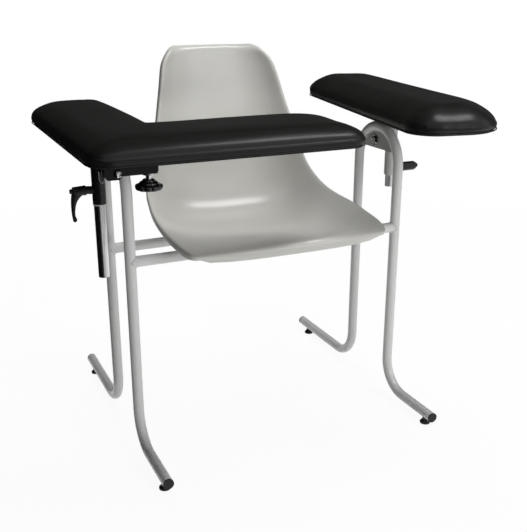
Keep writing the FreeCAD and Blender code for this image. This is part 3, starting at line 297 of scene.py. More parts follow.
class Finish:
    """A node material that starts from the standard shader."""

    def __init__(self, name):
        self.material = bpy.data.materials.new(name)
        self.material.use_nodes = True
        self.tree = self.material.node_tree
        self.shader = self.tree.nodes["Principled BSDF"]
        self.place = self.add("ShaderNodeTexCoord").outputs["Object"]

    def add(self, kind, inputs=None, **settings):
        made = self.tree.nodes.new(kind)
        for key, value in settings.items():
            setattr(made, key, value)
        for key, value in (inputs or {}).items():
            if isinstance(value, bpy.types.NodeSocket):
                self.tree.links.new(value, made.inputs[key])
            else:
                made.inputs[key].default_value = value
        return made

    def set(self, **values):
        """Constants on the shader's own sockets."""
        for key, value in values.items():
            self.shader.inputs[key.replace("_", " ")].default_value = value
        return self

    def link(self, socket, name):
        self.tree.links.new(socket, self.shader.inputs[name])

    def noise(self, scale, detail=2.0, rough=0.5, vector=None, distortion=0.0):
        return self.add("ShaderNodeTexNoise", {
            "Vector": vector or self.place, "Scale": scale, "Detail": detail,
            "Roughness": rough, "Distortion": distortion}).outputs["Fac"]

    def stretched(self, scale):
        """The object's coordinates, scaled apart along each axis."""
        return self.add("ShaderNodeMapping", {"Vector": self.place, "Scale": scale}).outputs["Vector"]

    def span(self, value, low, high, to_low, to_high):
        return self.add("ShaderNodeMapRange", {
            "Value": value, "From Min": low, "From Max": high,
            "To Min": to_low, "To Max": to_high}).outputs["Result"]

    def times(self, a, b):
        return self.add("ShaderNodeMath", {0: a, 1: b}, operation="MULTIPLY").outputs[0]

    def between(self, factor, dark, light):
        """Colour that changes from dark to light with the factor."""
        made = self.add("ShaderNodeValToRGB", {"Fac": factor})
        made.color_ramp.elements[0].color = (*dark, 1)
        made.color_ramp.elements[1].color = (*light, 1)
        return made.outputs["Color"]

    def over(self, factor, below, above):
        inputs = {"Factor": factor}
        for index, value in ((6, below), (7, above)):
            inputs[index] = value if isinstance(value, bpy.types.NodeSocket) else (*value, 1)
        return self.add("ShaderNodeMix", inputs, data_type="RGBA").outputs[2]

    def bump(self, height, strength, distance, under=None):
        inputs = {"Height": height, "Strength": strength, "Distance": distance}
        if under is not None:
            inputs["Normal"] = under
        return self.add("ShaderNodeBump", inputs).outputs["Normal"]


def shade(colour, amount):
    """A colour made lighter or darker."""
    return tuple(min(1.0, part * amount) for part in colour)


CHIP_HEIGHTS = (0.16, 0.02)    # no chips above the first height, the most below the second


def enamel(name, colour, gloss, wear=True):
    """Sprayed enamel: faint orange peel, clouding, and small chips low down where shoes reach."""
    made = Finish(name)
    cloud = made.between(made.noise(11, 3), shade(colour, 0.98), shade(colour, 1.02))
    if wear:
        height = made.add("ShaderNodeSeparateXYZ", {"Vector": made.place}).outputs["Z"]
        low = made.span(height, *CHIP_HEIGHTS, 0, 1)
        chips = made.span(made.noise(330, 4, 0.62), 0.66, 0.70, 0, 1)
        cloud = made.over(made.times(chips, low), cloud, shade(colour, 0.32))
    made.link(cloud, "Base Color")
    made.link(made.span(made.noise(46, 3), 0.3, 0.7, gloss, gloss + 0.08), "Roughness")
    made.link(made.bump(made.noise(360, 2), 0.07, 0.0006), "Normal")
    made.set(IOR=1.5, Specular_IOR_Level=0.45, Coat_Weight=0.25, Coat_Roughness=0.12)
    return made.material


def seat_plastic(colour):
    """Satin moulded plastic with a fine eggshell texture and faint rubbed patches."""
    made = Finish("seat plastic")
    cloud = made.between(made.noise(7, 3), shade(colour, 0.992), shade(colour, 1.008))
    specks = made.span(made.noise(240, 5, 0.7), 0.68, 0.78, 0, 0.05)
    made.link(made.over(specks, cloud, shade(colour, 0.8)), "Base Color")
    made.link(made.span(made.noise(16, 4), 0.3, 0.72, 0.28, 0.35), "Roughness")
    fine = made.bump(made.noise(1100, 2), 0.12, 0.0003)
    made.link(made.bump(made.noise(26, 2), 0.035, 0.003, fine), "Normal")
    made.set(IOR=1.5, Specular_IOR_Level=0.65)
    return made.material


def bright_chrome(colour):
    """Polished tube: hair lines along its length, and darker and lighter stripes along it painted in as
    reflections.
    """
    made = Finish("bright chrome")
    lines = made.noise(900, 3, 0.6, made.stretched((1, 1, 0.03)))
    # Painted reflections: stripes along the tube, from 0.68 to 1.05 of the chrome's colour
    painted_reflection_streaks = made.span(made.noise(95, 2, 0.5, made.stretched((1, 1, 0.02))), 0.4, 0.6, 0, 1)
    made.link(made.between(painted_reflection_streaks, shade(colour, 0.68), shade(colour, 1.05)), "Base Color")
    made.link(made.span(lines, 0.35, 0.75, 0.28, 0.36), "Roughness")
    made.link(made.bump(lines, 0.03, 0.0003), "Normal")
    made.set(Metallic=1.0)
    return made.material


def zinc_plate(colour):
    """Dull bright zinc on bolts and screws."""
    made = Finish("zinc plate")
    made.link(made.between(made.noise(140, 4), shade(colour, 0.78), shade(colour, 1.1)), "Base Color")
    made.link(made.span(made.noise(520, 3), 0.3, 0.7, 0.22, 0.42), "Roughness")
    made.link(made.bump(made.noise(900, 2), 0.08, 0.0003), "Normal")
    made.set(Metallic=1.0)
    return made.material


def patchy_zinc(colour):
    """Bolt heads: zinc in dark and bright patches, with tool marks."""
    made = Finish("patchy zinc")
    # Dark and bright patches, from 0.12 to 1.3 of the zinc's colour
    dark_and_bright_patches = made.span(made.noise(330, 2, 0.5), 0.44, 0.56, 0, 1)
    made.link(made.between(dark_and_bright_patches, shade(colour, 0.12), shade(colour, 1.3)), "Base Color")
    made.link(made.span(made.noise(520, 3), 0.3, 0.7, 0.12, 0.3), "Roughness")
    made.link(made.bump(made.noise(420, 2), 0.3, 0.0006), "Normal")
    made.set(Metallic=1.0)
    return made.material


def black_moulding(name, colour, rough, grain, shine=0.5):
    """Black plastic or rubber: fine grain, paler rubbed patches."""
    made = Finish(name)
    rubbed = made.span(made.noise(90, 4, 0.6), 0.5, 0.8, 0, 0.5)
    made.link(made.over(rubbed, colour, shade(colour, 2.4)), "Base Color")
    made.link(made.span(made.noise(70, 3), 0.3, 0.7, rough - 0.05, rough + 0.08), "Roughness")
    made.link(made.bump(made.noise(1300, 2), grain, 0.0003), "Normal")
    made.set(IOR=1.5, Specular_IOR_Level=shine)
    return made.material


def upholstery_vinyl(colour):
    """Smooth upholstery vinyl: fine leather grain, faint waves of the foam under it, soft gloss."""
    made = Finish("upholstery vinyl")
    pebbles = made.add("ShaderNodeTexVoronoi", {
        "Vector": made.place, "Scale": 620.0, "Smoothness": 0.6}, feature="SMOOTH_F1").outputs["Distance"]
    cloud = made.between(made.noise(14, 3), shade(colour, 0.85), shade(colour, 1.2))
    made.link(cloud, "Base Color")
    grazing = made.add("ShaderNodeLayerWeight", {"Blend": 0.5}).outputs["Facing"]
    dull = made.span(grazing, 0.6, 0.88, 0, 0.5)
    gloss = made.span(made.noise(38, 4), 0.3, 0.7, 0.29, 0.34)
    made.link(made.add("ShaderNodeMath", {0: gloss, 1: dull}, operation="ADD").outputs[0], "Roughness")
    made.link(made.bump(pebbles, 0.06, 0.0004), "Normal")
    made.set(IOR=1.4, Specular_IOR_Level=0.24)
    return made.material


def backing_cloth():
    """Black backing cloth under the boards: coarse square weave, no gloss."""
    made = Finish("backing cloth")
    threads = []
    for way in ("X", "Y"):
        threads.append(made.add("ShaderNodeTexWave", {
            "Vector": made.place, "Scale": 260.0, "Distortion": 0.6}, bands_direction=way).outputs["Fac"])
    weave = made.times(threads[0], threads[1])
    made.link(made.between(made.noise(60, 4), (0.006, 0.006, 0.006), (0.014, 0.014, 0.014)), "Base Color")
    made.link(made.bump(weave, 0.3, 0.0006), "Normal")
    made.set(Roughness=0.85, Specular_IOR_Level=0.2)
    return made.material


def make_finishes(colours):
    """Every finish of the chair by its slot."""
    black = tuple(colours.black)
    return {
        "frame_paint": enamel("frame enamel", tuple(colours.enamel), 0.28),
        "black_paint": black_moulding("black enamel", shade(black, 0.8), 0.34, 0.04, 0.15),
        "bracket": black_moulding("bracket enamel", shade(black, 1.4), 0.42, 0.05),
        # Gussets: the frame enamel darkened to 0.6, painted shade where they sit recessed under the pads and
        # face away from the lamps
        "gusset_painted_shade": enamel("gusset enamel with painted shade", shade(tuple(colours.enamel), 0.6), 0.34, wear=False),
        # Right sleeve and its saddle: the frame enamel darkened to 0.78, painted shade of the pad above them
        "sleeve": enamel("sleeve enamel with painted shade", shade(tuple(colours.enamel), 0.78), 0.3, wear=False),
        "seat_plastic": seat_plastic(tuple(colours.seat)),
        "chrome": bright_chrome(tuple(colours.chrome)),
        "bright_steel": zinc_plate(tuple(colours.zinc)),
        "bolt": patchy_zinc(tuple(colours.zinc)),
        "black_plastic": black_moulding("black moulding", shade(black, 0.9), 0.36, 0.05, 0.3),
        "knob": black_moulding("knob gloss", shade(black, 0.8), 0.14, 0.02),
        "plug": black_moulding("foot plug", shade(black, 1.2), 0.5, 0.1, 0.3),
        "rubber": black_moulding("soft rubber", shade(black, 1.6), 0.62, 0.1),
        "edge_band": black_moulding("edge band", shade(black, 1.3), 0.4, 0.06, 0.4),
        "black_board": backing_cloth(),
        "vinyl": upholstery_vinyl(tuple(colours.vinyl)),
    }


FINISHES = {}
# Nodes with another finish than their slot's
SPECIAL_FINISH = {
    "levelling_knob": "knob",
    "front_foot_plugs": "plug",
    "rear_foot_plugs": "plug",
    "left_sleeve_bracket": "bracket",
    "pivot_bolt": "bolt",
    "hinge_plate": "black_paint",
    # Both gussets take the darkened enamel, painted shade
    "right_gusset": "gusset_painted_shade",
    "left_gusset": "gusset_painted_shade",
    # The right sleeve and its saddle take the darkened enamel, painted shade
    "right_sleeve": "sleeve",
    "right_sleeve_bracket": "sleeve",
    "right_bracket_bolt": "bolt",
    "left_bracket_bolt": "bolt",
}


def finish_named(key):
    """The finish for a slot, made on first use."""
    if not FINISHES:
        FINISHES.update(make_finishes(bpy.context.scene.chair_finishes))
    return FINISHES[key]


class CHAIR_OT_finishes(bpy.types.Operator):
    """Gives every node of the frame its finish"""

    bl_idname = "chair.finishes"
    bl_label = "Finish the frame"

    def execute(self, context):
        slots = {row["node"]: row["material_slot"] for row in frame["record"]["subparts"]}
        for name, piece in frame["nodes"].items():
            material = finish_named(SPECIAL_FINISH.get(name, slots[name]))
            if not piece.material_slots:
                piece.data.materials.append(material)
            for place in piece.material_slots:
                place.link = "OBJECT"
                place.material = material
        return {"FINISHED"}


# Padded tops

PAD_BULGE = 0.009           # height of a pad's widest outline above its board
TAUT_PASSES = 24
# How full a pad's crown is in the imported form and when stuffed; 2 is a quarter of an ellipse
CROWN_POWERS = {"left": (2.4, 1.8), "right": (1.46, 1.5)}
# Corners of the pads in mm before they are turned: place, the ways inwards, share of the crown's
# height that is lost there, and how far the foam pushes out
PAD_CORNERS = {
    "left": [
        (-82.0, -311.5, 1, 1, 0.22, 0.0), (442.0, -311.5, -1, 1, 0.3, 0.0), (442.0, -91.0, -1, -1, 0.1, 0.0),
        (99.5, 302.0, -1, -1, 0.0, 0.0), (-82.0, 302.0, 1, -1, -0.12, 10.0),
    ],
    "right": [
        (-103.0, -352.0, 1, 1, 0.12, 4.0), (103.0, -352.0, -1, 1, 0.1, 0.0),
        (103.0, 384.0, -1, -1, 0.0, 0.0), (-103.0, 384.0, 1, -1, -0.12, 18.0),
    ],
}
PAD_TURNS = {"left": 0.0, "right": -10.9}
PAD_ORIGINS = {"left": (-0.3435, 0), "right": (0.3435, 0)}
CORNER_REACH = 0.12
WALL_DROP = 0.0066          # how far the cover comes down beside the board
WALL_TOP = 0.018            # height above the board from which it is drawn down
WALL_DEPTH = (0.0105, 0.0135)    # all of the drop is nearer the edge than the first, none past the second
WALL_SLOPE = 0.0022         # how far the wall comes in towards its lower edge
WALL_HOLD = 3               # the wall is on its line from this part of the bulge downwards, one third
OUTLINE_STEP = 0.0005
BASE_SHARE = 0.7            # part of the pad's mesh size above the board that is held down
CLOTH_FRAMES = 20
WELT_SHARES = {"left": 0.6, "right": 0.8}    # radius of the welt as a share of the piping's
WELT_OUT_SHARE = 0.2        # how far the welt stands out from the edge band, as a share of its radius
WELT_RISE_SHARE = 1.5       # how far its middle is below the band's top, as a share of its radius
WELT_DROP = 0.0046          # and how much further down it sits
WELT_STEP = 0.004


def stuffed(node, settings, packed, wanted):
    """Cover of a pad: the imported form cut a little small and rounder, then pushed out by its stuffing."""
    low, high = (corner.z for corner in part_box(node))
    pad = bare_copy(node)
    edit_all()
    bpy.ops.mesh.remove_doubles(threshold=SAME_PLACE)
    close_up()
    apply_modifier(pad, "Cut small", "DISPLACE", strength=-settings.slack, mid_level=0)
    for corner in pad.data.vertices:
        if corner.co.z < low + 2 * settings.slack:
            corner.co.z = low
    apply_modifier(pad, "Even mesh", "REMESH", mode="VOXEL", voxel_size=settings.voxel)
    rounder(pad, low + PAD_BULGE, high - settings.slack, packed, wanted)
    domed(pad, node.split("_")[0], low, low + PAD_BULGE)
    apply_modifier(pad, "Even", "SMOOTH", factor=0.5, iterations=5)
    stuff(pad, low, settings)
    subdivide(pad, 1)
    drawn_over(pad, node, low)
    return pad


def drawn_over(pad, node, low):
    """Draws the cover's lower wall down over the board's edge, nearly upright."""
    widest = low + PAD_BULGE
    ring = even_ring(outline_at(node, widest), OUTLINE_STEP)
    inner = inside_of(ring, 1.0)
    near = KDTree(len(ring))
    for number, place in enumerate(ring):
        near.insert((place.x, place.y, 0), number)
    near.balance()
    for point in pad.data.vertices:
        drawn = (low + WALL_TOP - point.co.z) / WALL_TOP
        below = (widest - point.co.z) / PAD_BULGE
        if drawn > 0:
            _, number, depth = near.find((point.co.x, point.co.y, 0))
            share = min(1.0, max(0.0, (WALL_DEPTH[1] - depth) / (WALL_DEPTH[1] - WALL_DEPTH[0])))
            point.co.z -= WALL_DROP * drawn ** 2 * share
        if below > 0:
            wall = ring[number].lerp(inner[number], WALL_SLOPE * below ** 2)
            share *= min(1.0, below * WALL_HOLD)
            point.co.x += (wall.x - point.co.x) * share
            point.co.y += (wall.y - point.co.y) * share


def rounder(pad, widest, top, packed, wanted):
    """Lowers a crown's shoulders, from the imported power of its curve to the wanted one."""
    rise = top - widest
    for corner in pad.data.vertices:
        share = min(1.0, (corner.co.z - widest) / rise)
        if share > 0:
            inward = 1 - share ** packed
            corner.co.z = widest + rise * (1 - inward ** (wanted / packed)) ** (1 / wanted)


def domed(pad, side, low, widest):
    """Shapes a pad at its corners, where the cover is pulled down or the foam pushes out."""
    for (x, y), inward, drop, push in corner_rows(side):
        for point in pad.data.vertices:
            away = Vector((point.co.x - x, point.co.y - y))
            shares = [max(0.0, away.dot(way)) / CORNER_REACH for way in inward]
            if max(shares) < 1:
                weight = ((1 - shares[0]) * (1 - shares[1])) ** 2
                if point.co.z > widest:
                    point.co.z -= (point.co.z - widest) * drop * weight
                lifted = min(1.0, max(0.0, (point.co.z - low) / PAD_BULGE))
                out = -(inward[0] + inward[1]).normalized() * push * weight * lifted
                point.co.x += out.x
                point.co.y += out.y


def corner_rows(side):
    """A pad's corners where it stands: place, the two ways inwards, drop and push."""
    turn = Matrix.Rotation(math.radians(PAD_TURNS[side]), 2)
    origin = Vector(PAD_ORIGINS[side])
    for x, y, way_x, way_y, drop, push in PAD_CORNERS[side]:
        place = origin + turn @ (Vector((x, y)) * MM)
        yield place, (turn @ Vector((way_x, 0)), turn @ Vector((0, way_y))), drop, push * MM


def stuff(pad, low, settings):
    """Cloth under pressure; its base stays down on the board, and no point moves beyond the swell."""
    scene = bpy.context.scene
    before = [corner.co.copy() for corner in pad.data.vertices]
    held = pad.vertex_groups.new(name="base")
    top = low + settings.voxel * BASE_SHARE
    held.add([v.index for v in pad.data.vertices if v.co.z < top], 1.0, "REPLACE")
    take(pad)
    cloth = pad.modifiers.new("Cloth", "CLOTH")
    cloth.settings.use_pressure = True
    cloth.settings.uniform_pressure_force = settings.pressure
    cloth.settings.vertex_group_mass = held.name
    cloth.settings.effector_weights.gravity = 0
    cloth.point_cache.frame_start = 1
    cloth.point_cache.frame_end = CLOTH_FRAMES
    for step in range(1, CLOTH_FRAMES + 1):
        scene.frame_set(step)
    bpy.ops.object.modifier_apply(modifier=cloth.name)
    scene.frame_set(1)
    moves = [corner.co - rest for corner, rest in zip(pad.data.vertices, before)]
    for number, move in enumerate(moves):
        if move.length > settings.swell:
            moves[number] = move.normalized() * settings.swell
    moves = pulled_taut(pad.data, moves)
    for corner, rest, move in zip(pad.data.vertices, before, moves):
        corner.co = rest + move
    pad.vertex_groups.clear()


def pulled_taut(mesh, moves):
    """The cover is stretched tight, so each point moves as its surroundings do."""
    near = [[] for corner in mesh.vertices]
    for edge in mesh.edges:
        a, b = edge.vertices
        near[a].append(b)
        near[b].append(a)
    for pass_number in range(TAUT_PASSES):
        moves = [
            (move + sum((moves[i] for i in around), Vector())) / (len(around) + 1)
            for move, around in zip(moves, near)]
    return moves


def outline_at(node, height):
    """The outer outline of a node at one height, as a closed ring of places."""
    ring = bare_copy(node)
    edit_all()
    bpy.ops.mesh.remove_doubles(threshold=SAME_PLACE)
    bpy.ops.mesh.bisect(plane_co=(0, 0, height), plane_no=(0, 0, 1), use_fill=False, threshold=1e-6)
    bpy.ops.object.mode_set(mode="OBJECT")
    flat = bmesh.new()
    flat.from_mesh(ring.data)
    bpy.data.objects.remove(ring)
    bmesh.ops.delete(flat, geom=[v for v in flat.verts if abs(v.co.z - height) > 3e-6], context="VERTS")
    rings = []
    left = set(flat.verts)
    while left:
        walk = [left.pop()]
        while True:
            ahead = [e.other_vert(walk[-1]) for e in walk[-1].link_edges]
            ahead = [v for v in ahead if v in left]
            if not ahead:
                break
            left.discard(ahead[0])
            walk.append(ahead[0])
        rings.append([v.co.copy() for v in walk])
    flat.free()
    return max(rings, key=lambda places: max(p.x for p in places) - min(p.x for p in places))


def inside_of(places, distance):
    """A ring of places moved inwards in plan."""
    area = sum(a.x * b.y - b.x * a.y for a, b in zip(places, places[1:] + places[:1]))
    sign = 1 if area > 0 else -1
    moved_in = []
    for number, here in enumerate(places):
        along = places[(number + 1) % len(places)] - places[number - 1]
        way = Vector((-along.y, along.x, 0)).normalized() * sign
        moved_in.append(here + way * distance)
    return moved_in


def even_ring(places, step):
    """A ring of places with even gaps of about one step."""
    ends = places + places[:1]
    runs = [0.0]
    for a, b in zip(ends, ends[1:]):
        runs.append(runs[-1] + (b - a).length)
    count = round(runs[-1] / step)
    found, spot = [], 0
    for number in range(count):
        wanted = runs[-1] * number / count
        while runs[spot + 1] < wanted:
            spot += 1
        share = (wanted - runs[spot]) / (runs[spot + 1] - runs[spot])
        found.append(ends[spot].lerp(ends[spot + 1], share))
    return found


def cord(places, radius, name, closed=True, thickness=None):
    """A round cord along places; thickness gives its share of the radius at each place."""
    line = bpy.data.curves.new(name, "CURVE")
    line.dimensions = "3D"
    spline = line.splines.new("POLY")
    spline.points.add(len(places) - 1)
    for number, (point, place) in enumerate(zip(spline.points, places)):
        point.co = (*place, 1)
        if thickness:
            point.radius = thickness(number)
    spline.use_cyclic_u = closed
    line.bevel_depth = radius
    line.bevel_resolution = 3
    line.use_fill_caps = not closed
    made = bpy.data.objects.new(name, line)
    bpy.context.scene.collection.objects.link(made)
    take(made)
    bpy.ops.object.convert(target="MESH")
    return bpy.context.object


class CHAIR_OT_pads(bpy.types.Operator):
    """Makes both padded tops and the piping round them"""

    bl_idname = "chair.pads"
    bl_label = "Padded tops"

    def execute(self, context):
        settings = context.scene.chair_pads
        for side, body in (("left", "left_top"), ("right", "right_arm")):
            node = f"{side}_arm_pad"
            pad = stuffed(node, settings, *CROWN_POWERS[side])
            complete(pad, f"{side}_padded_top", body, "vinyl", angle=None)
            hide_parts(node)
            low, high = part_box(f"{side}_arm_edge_band")
            ring = outline_at(f"{side}_arm_edge_band", (low.z + high.z) / 2)
            radius = settings.piping * WELT_SHARES[side]
            ring = even_ring(inside_of(ring, -radius * WELT_OUT_SHARE), WELT_STEP)
            for place in ring:
                place.z = high.z - radius * WELT_RISE_SHARE - WELT_DROP
            bead = cord(ring, radius, f"{side}_welt")
            complete(bead, f"{side}_welt", body, "vinyl", angle=None)
        return {"FINISHED"}


# Clamp levers. Places are measured outwards from the post's axis and up from the clamp's.

LEVER_NECK = (18.8, 27.0, 8.0)        # start, end and radius of the neck, mm
LEVER_HEAD = (25.4, 51.4, 10.0)       # start, end and radius of the head
LEVER_HEAD_END = 0.84                 # how much the head narrows towards its end
LEVER_SCREW_END = (50.5, 56.9, 4.7)   # screw end that shows outside the head
SCREW_SHANK = (12.0, 22.0, 3.9)       # the screw's shank, without the lever's reach
LEVER_SPACER = (18.8, 47.5, 10.4)     # spacer behind a lever that stands out, without its reach
SCREW_SIDES = 32
HEAD_RECESS = (2.6, 1.6)              # rim and depth of the hollow in the head's end, mm
SCREW_RECESS = (1.4, 0.8)             # the same in the screw's end
HEAD_ROUNDING = 1.1 * MM
NECK_ROUNDING = 0.12 * MM
SCREW_ROUNDING = 0.5 * MM
SPACER_ROUNDING = 1.6 * MM
# Each clamp's height, its turn in degrees about an axis, and how far its lever stands out
CLAMPS = {"left": (0.552, 180, "Z", 0.0), "right": (0.5365, 69, "X", 0.0167)}
# Slices of the handle: height, inner and outer side, and share of its full width
LEVER_SLICES = [
    (2.0, 27.0, 53.6, 0.98), (-5.0, 27.0, 54.6, 1.0), (-8.6, 30.5, 55.3, 1.0), (-12.0, 35.8, 55.7, 0.98),
    (-17.0, 41.0, 56.1, 0.95), (-24.0, 44.9, 56.5, 0.92), (-32.0, 47.4, 56.7, 0.9), (-41.0, 48.9, 56.5, 0.9),
    (-49.0, 49.3, 55.9, 0.94), (-53.5, 47.6, 55.5, 1.02), (-57.0, 45.6, 55.0, 1.1), (-60.0, 46.6, 54.6, 1.12),
    (-62.0, 49.0, 54.0, 1.0),
]


def lever_handle(width):
    """Curved handle, drawn out downwards slice by slice, then smoothed."""
    top, inner, outer, share = LEVER_SLICES[0]
    drop_all()
    bpy.ops.mesh.primitive_circle_add(
        vertices=12, radius=0.5, fill_type="NGON", location=((inner + outer) / 2 * MM, 0, top * MM))
    piece = bpy.context.object
    piece.scale = ((outer - inner) * MM, width * share, 1)
    apply_place()
    edit_all()
    before = LEVER_SLICES[0]
    for piece_slice in LEVER_SLICES[1:]:
        height, inner, outer, share = piece_slice
        shift = ((inner + outer) - (before[1] + before[2])) / 2 * MM
        bpy.ops.mesh.extrude_region_move(
            TRANSFORM_OT_translate={"value": (shift, 0, (height - before[0]) * MM)})
        bpy.ops.transform.resize(
            value=((outer - inner) / (before[2] - before[1]), share / before[3], 1),
            center_override=((inner + outer) / 2 * MM, 0, height * MM))
        before = piece_slice
    close_up()
    subdivide(piece, 2)
    return piece


def recess(rim, depth):
    """Sinks the selected end within a rim and leaves edit mode."""
    bpy.ops.mesh.inset(thickness=rim * MM)
    bpy.ops.mesh.extrude_region_move(TRANSFORM_OT_translate={"value": (-depth * MM, 0, 0)})
    bpy.ops.object.mode_set(mode="OBJECT")


def clamp_lever(width):
    """One lever in its own place: neck, head with a recessed end, curved handle."""
    neck = rod(LEVER_NECK)
    head = rod(LEVER_HEAD)
    edit_end(head)
    bpy.ops.transform.resize(
        value=(1, LEVER_HEAD_END, LEVER_HEAD_END), center_override=(LEVER_HEAD[1] * MM, 0, 0))
    recess(*HEAD_RECESS)
    round_edges(head, HEAD_ROUNDING)
    round_edges(neck, NECK_ROUNDING, segments=2)
    handle = lever_handle(width)
    return join(head, neck, handle)


def screw_end():
    """End of the clamp screw outside the head, with a hollow in it."""
    end = rod(LEVER_SCREW_END, sides=SCREW_SIDES)
    edit_end(end)
    recess(*SCREW_RECESS)
    round_edges(end, SCREW_ROUNDING)
    return end


class CHAIR_OT_levers(bpy.types.Operator):
    """Makes the two clamp levers with their screws"""

    bl_idname = "chair.levers"
    bl_label = "Clamp levers"

    def execute(self, context):
        lever = clamp_lever(context.scene.chair_mouldings.lever_wide)
        end = screw_end()
        for word, (height, degrees, axis, reach) in CLAMPS.items():
            body = f"{word}_clamp"
            low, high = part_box(f"{word}_sleeve_ring")
            turn = Matrix.Rotation(math.radians(degrees), 4, axis)
            on_post = Matrix.Translation(((low.x + high.x) / 2, 0, height)) @ turn
            stood_out = on_post @ Matrix.Translation((reach, 0, 0))
            made = moved(copy_of(lever), stood_out)
            complete(made, f"{word}_lever", body, "black_plastic")
            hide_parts(f"{word}_clamp_lever")
            shank = moved(rod(SCREW_SHANK, reach, SCREW_SIDES), on_post)
            complete(shank, f"{word}_clamp_screw", body, "bright_steel")
            if reach:
                spacer = rod(LEVER_SPACER, reach)
                round_edges(spacer, SPACER_ROUNDING)
                complete(moved(spacer, on_post), f"{word}_lever_spacer", body, "black_plastic")
            cap = moved(copy_of(end), stood_out)
            complete(cap, f"{word}_lever_cap", body, "black_plastic")
        for spare in (lever, end):
            bpy.data.objects.remove(spare)
        return {"FINISHED"}


# Levelling knob

GROOVE_ANGLE = 232.7        # direction of one hollow between two lobes, degrees
LOBE_SIDES = 14             # sides of the knob's rings for each lobe
LOBE_START = 0.72           # share of the knob's radius where the hollows begin
LOBE_BLEND = 0.2            # share of the radius over which they reach their depth
GROOVE_POWER = 3            # how narrow the hollows are
# Height and radius of the knob's rings in mm, from the recess underneath round to the top
KNOB_RINGS = [
    (4.5, 9.0), (4.2, 14.5), (1.6, 16.0), (0.3, 17.6), (0.0, 19.4), (0.5, 21.4), (1.8, 23.1), (3.6, 24.1),
    (5.8, 24.4), (7.8, 24.1), (9.2, 23.2), (9.9, 21.8), (10.1, 19.6), (10.2, 17.6), (10.6, 16.8),
    (12.4, 16.3), (14.2, 15.6), (14.8, 14.6), (15.0, 12.2), (15.4, 11.4), (17.4, 10.9), (18.5, 10.3),
    (19.0, 9.2), (19.0, 5.0),
]


def turned(rings, foot, sides):
    """A turned form, drawn ring by ring from its underside to its top."""
    x, y, z = foot
    height, radius = rings[0]
    drop_all()
    bpy.ops.mesh.primitive_circle_add(
        vertices=sides, radius=radius * MM, fill_type="NGON", location=(x, y, z + height * MM))
    piece = bpy.context.object
    apply_place()
    edit_all()
    for new_height, new_radius in rings[1:]:
        bpy.ops.mesh.extrude_region_move(
            TRANSFORM_OT_translate={"value": (0, 0, (new_height - height) * MM)})
        share = new_radius / radius
        bpy.ops.transform.resize(value=(share, share, 1), center_override=(x, y, z + new_height * MM))
        height, radius = new_height, new_radius
    close_up()
    return piece


class CHAIR_OT_knob(bpy.types.Operator):
    """Makes the lobed levelling knob"""

    bl_idname = "chair.knob"
    bl_label = "Levelling knob"

    def execute(self, context):
        settings = context.scene.chair_mouldings
        low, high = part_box("levelling_knob")
        centre = ((low.x + high.x) / 2, (low.y + high.y) / 2)
        radius = (high.x - low.x) / 2
        knob = turned(KNOB_RINGS, (*centre, low.z), settings.knob_lobes * LOBE_SIDES)
        for corner in knob.data.vertices:
            across = Vector((corner.co.x - centre[0], corner.co.y - centre[1]))
            share = min(1.0, max(0.0, (across.length / radius - LOBE_START) / LOBE_BLEND))
            if share > 0:
                angle = math.atan2(across.y, across.x) - math.radians(GROOVE_ANGLE)
                groove = ((1 + math.cos(settings.knob_lobes * angle)) / 2) ** GROOVE_POWER
                pull = 1 - settings.lobe_depth * groove * share / across.length
                corner.co.x = centre[0] + across.x * pull
                corner.co.y = centre[1] + across.y * pull
        complete(knob, "star_knob", "levelling_knob", "black_plastic", "knob", angle=45)
        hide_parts("levelling_knob")
        return {"FINISHED"}


# Small details: welds, staples, turned-under cover, clip

TUBE_RADIUS = 0.0111
WELD_RADIUS = 0.0015
WELD_RIPPLE = 0.16          # how much thicker every second ripple of a bead is
WELD_END_SHARE = 0.35       # thickness of a short bead's two ends
WELD_OFF = 0.0003           # how far a bead's middle stands off the crossbar
CROSSBAR_RIPPLES = 44
GUSSET_RIPPLES = 12
ARCH_CENTRE_Z = 0.5602
ARCH_INNER = 0.0634
GUSSET_WELDS = ((28, 48), (78, 102), (132, 152))    # angles of the short beads round an arch
CLIP_WIRE = 0.0009
# Across and up, mm, of the wire clip in front of the left sleeve bracket
CLIP_PATH = [
    (-347.9, 594), (-347.9, 586), (-347.8, 578), (-346.8, 573.6), (-344.6, 571.0), (-342.2, 570.2),
    (-339.8, 571.0), (-337.6, 573.6), (-336.6, 578), (-336.5, 586), (-336.5, 594),
]
UNDER_STRIP = (0.012, 0.010, 0.045)   # inset of the turned-under cover's middle, half its width, flatness
STAPLE_INSET = 0.015
STAPLE_GAP = 0.038
STAPLE_SIZE = (0.0105, 0.0013, 0.0009)
STAPLE_ROUNDING = 0.0003
STAPLE_BELOW = 0.0011       # how far a staple's middle is below the board
STAPLE_ASKEW = 11           # most that a staple is askew, degrees
STAPLE_STRIDE = 37          # spreads the turns, so that neighbours differ
STRIP_STEP = 0.006


def ripple(ends=()):
    """Ripples of a weld bead, thinner at its ends."""
    return lambda number: (1 + WELD_RIPPLE * (number % 2)) * (WELD_END_SHARE if number in ends else 1)


def crossbar_welds():
    """Beads round both ends of both crossbars, where they meet the side frames."""
    for word in ("front", "rear"):
        low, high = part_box(f"{word}_crossbar")
        y, z, radius = (low.y + high.y) / 2, (low.z + high.z) / 2, (high.z - low.z) / 2
        for side, end in (("left", -1), ("right", 1)):
            places = []
            for step in range(CROSSBAR_RIPPLES):
                angle = math.tau * step / CROSSBAR_RIPPLES
                reach = math.sqrt(max(0.0, TUBE_RADIUS ** 2 - (radius * math.cos(angle)) ** 2))
                places.append(Vector((
                    end * (high.x - reach), y + (radius + WELD_OFF) * math.cos(angle),
                    z + (radius + WELD_OFF) * math.sin(angle))))
            yield cord(places, WELD_RADIUS, f"{word}_{side}_weld", thickness=ripple())


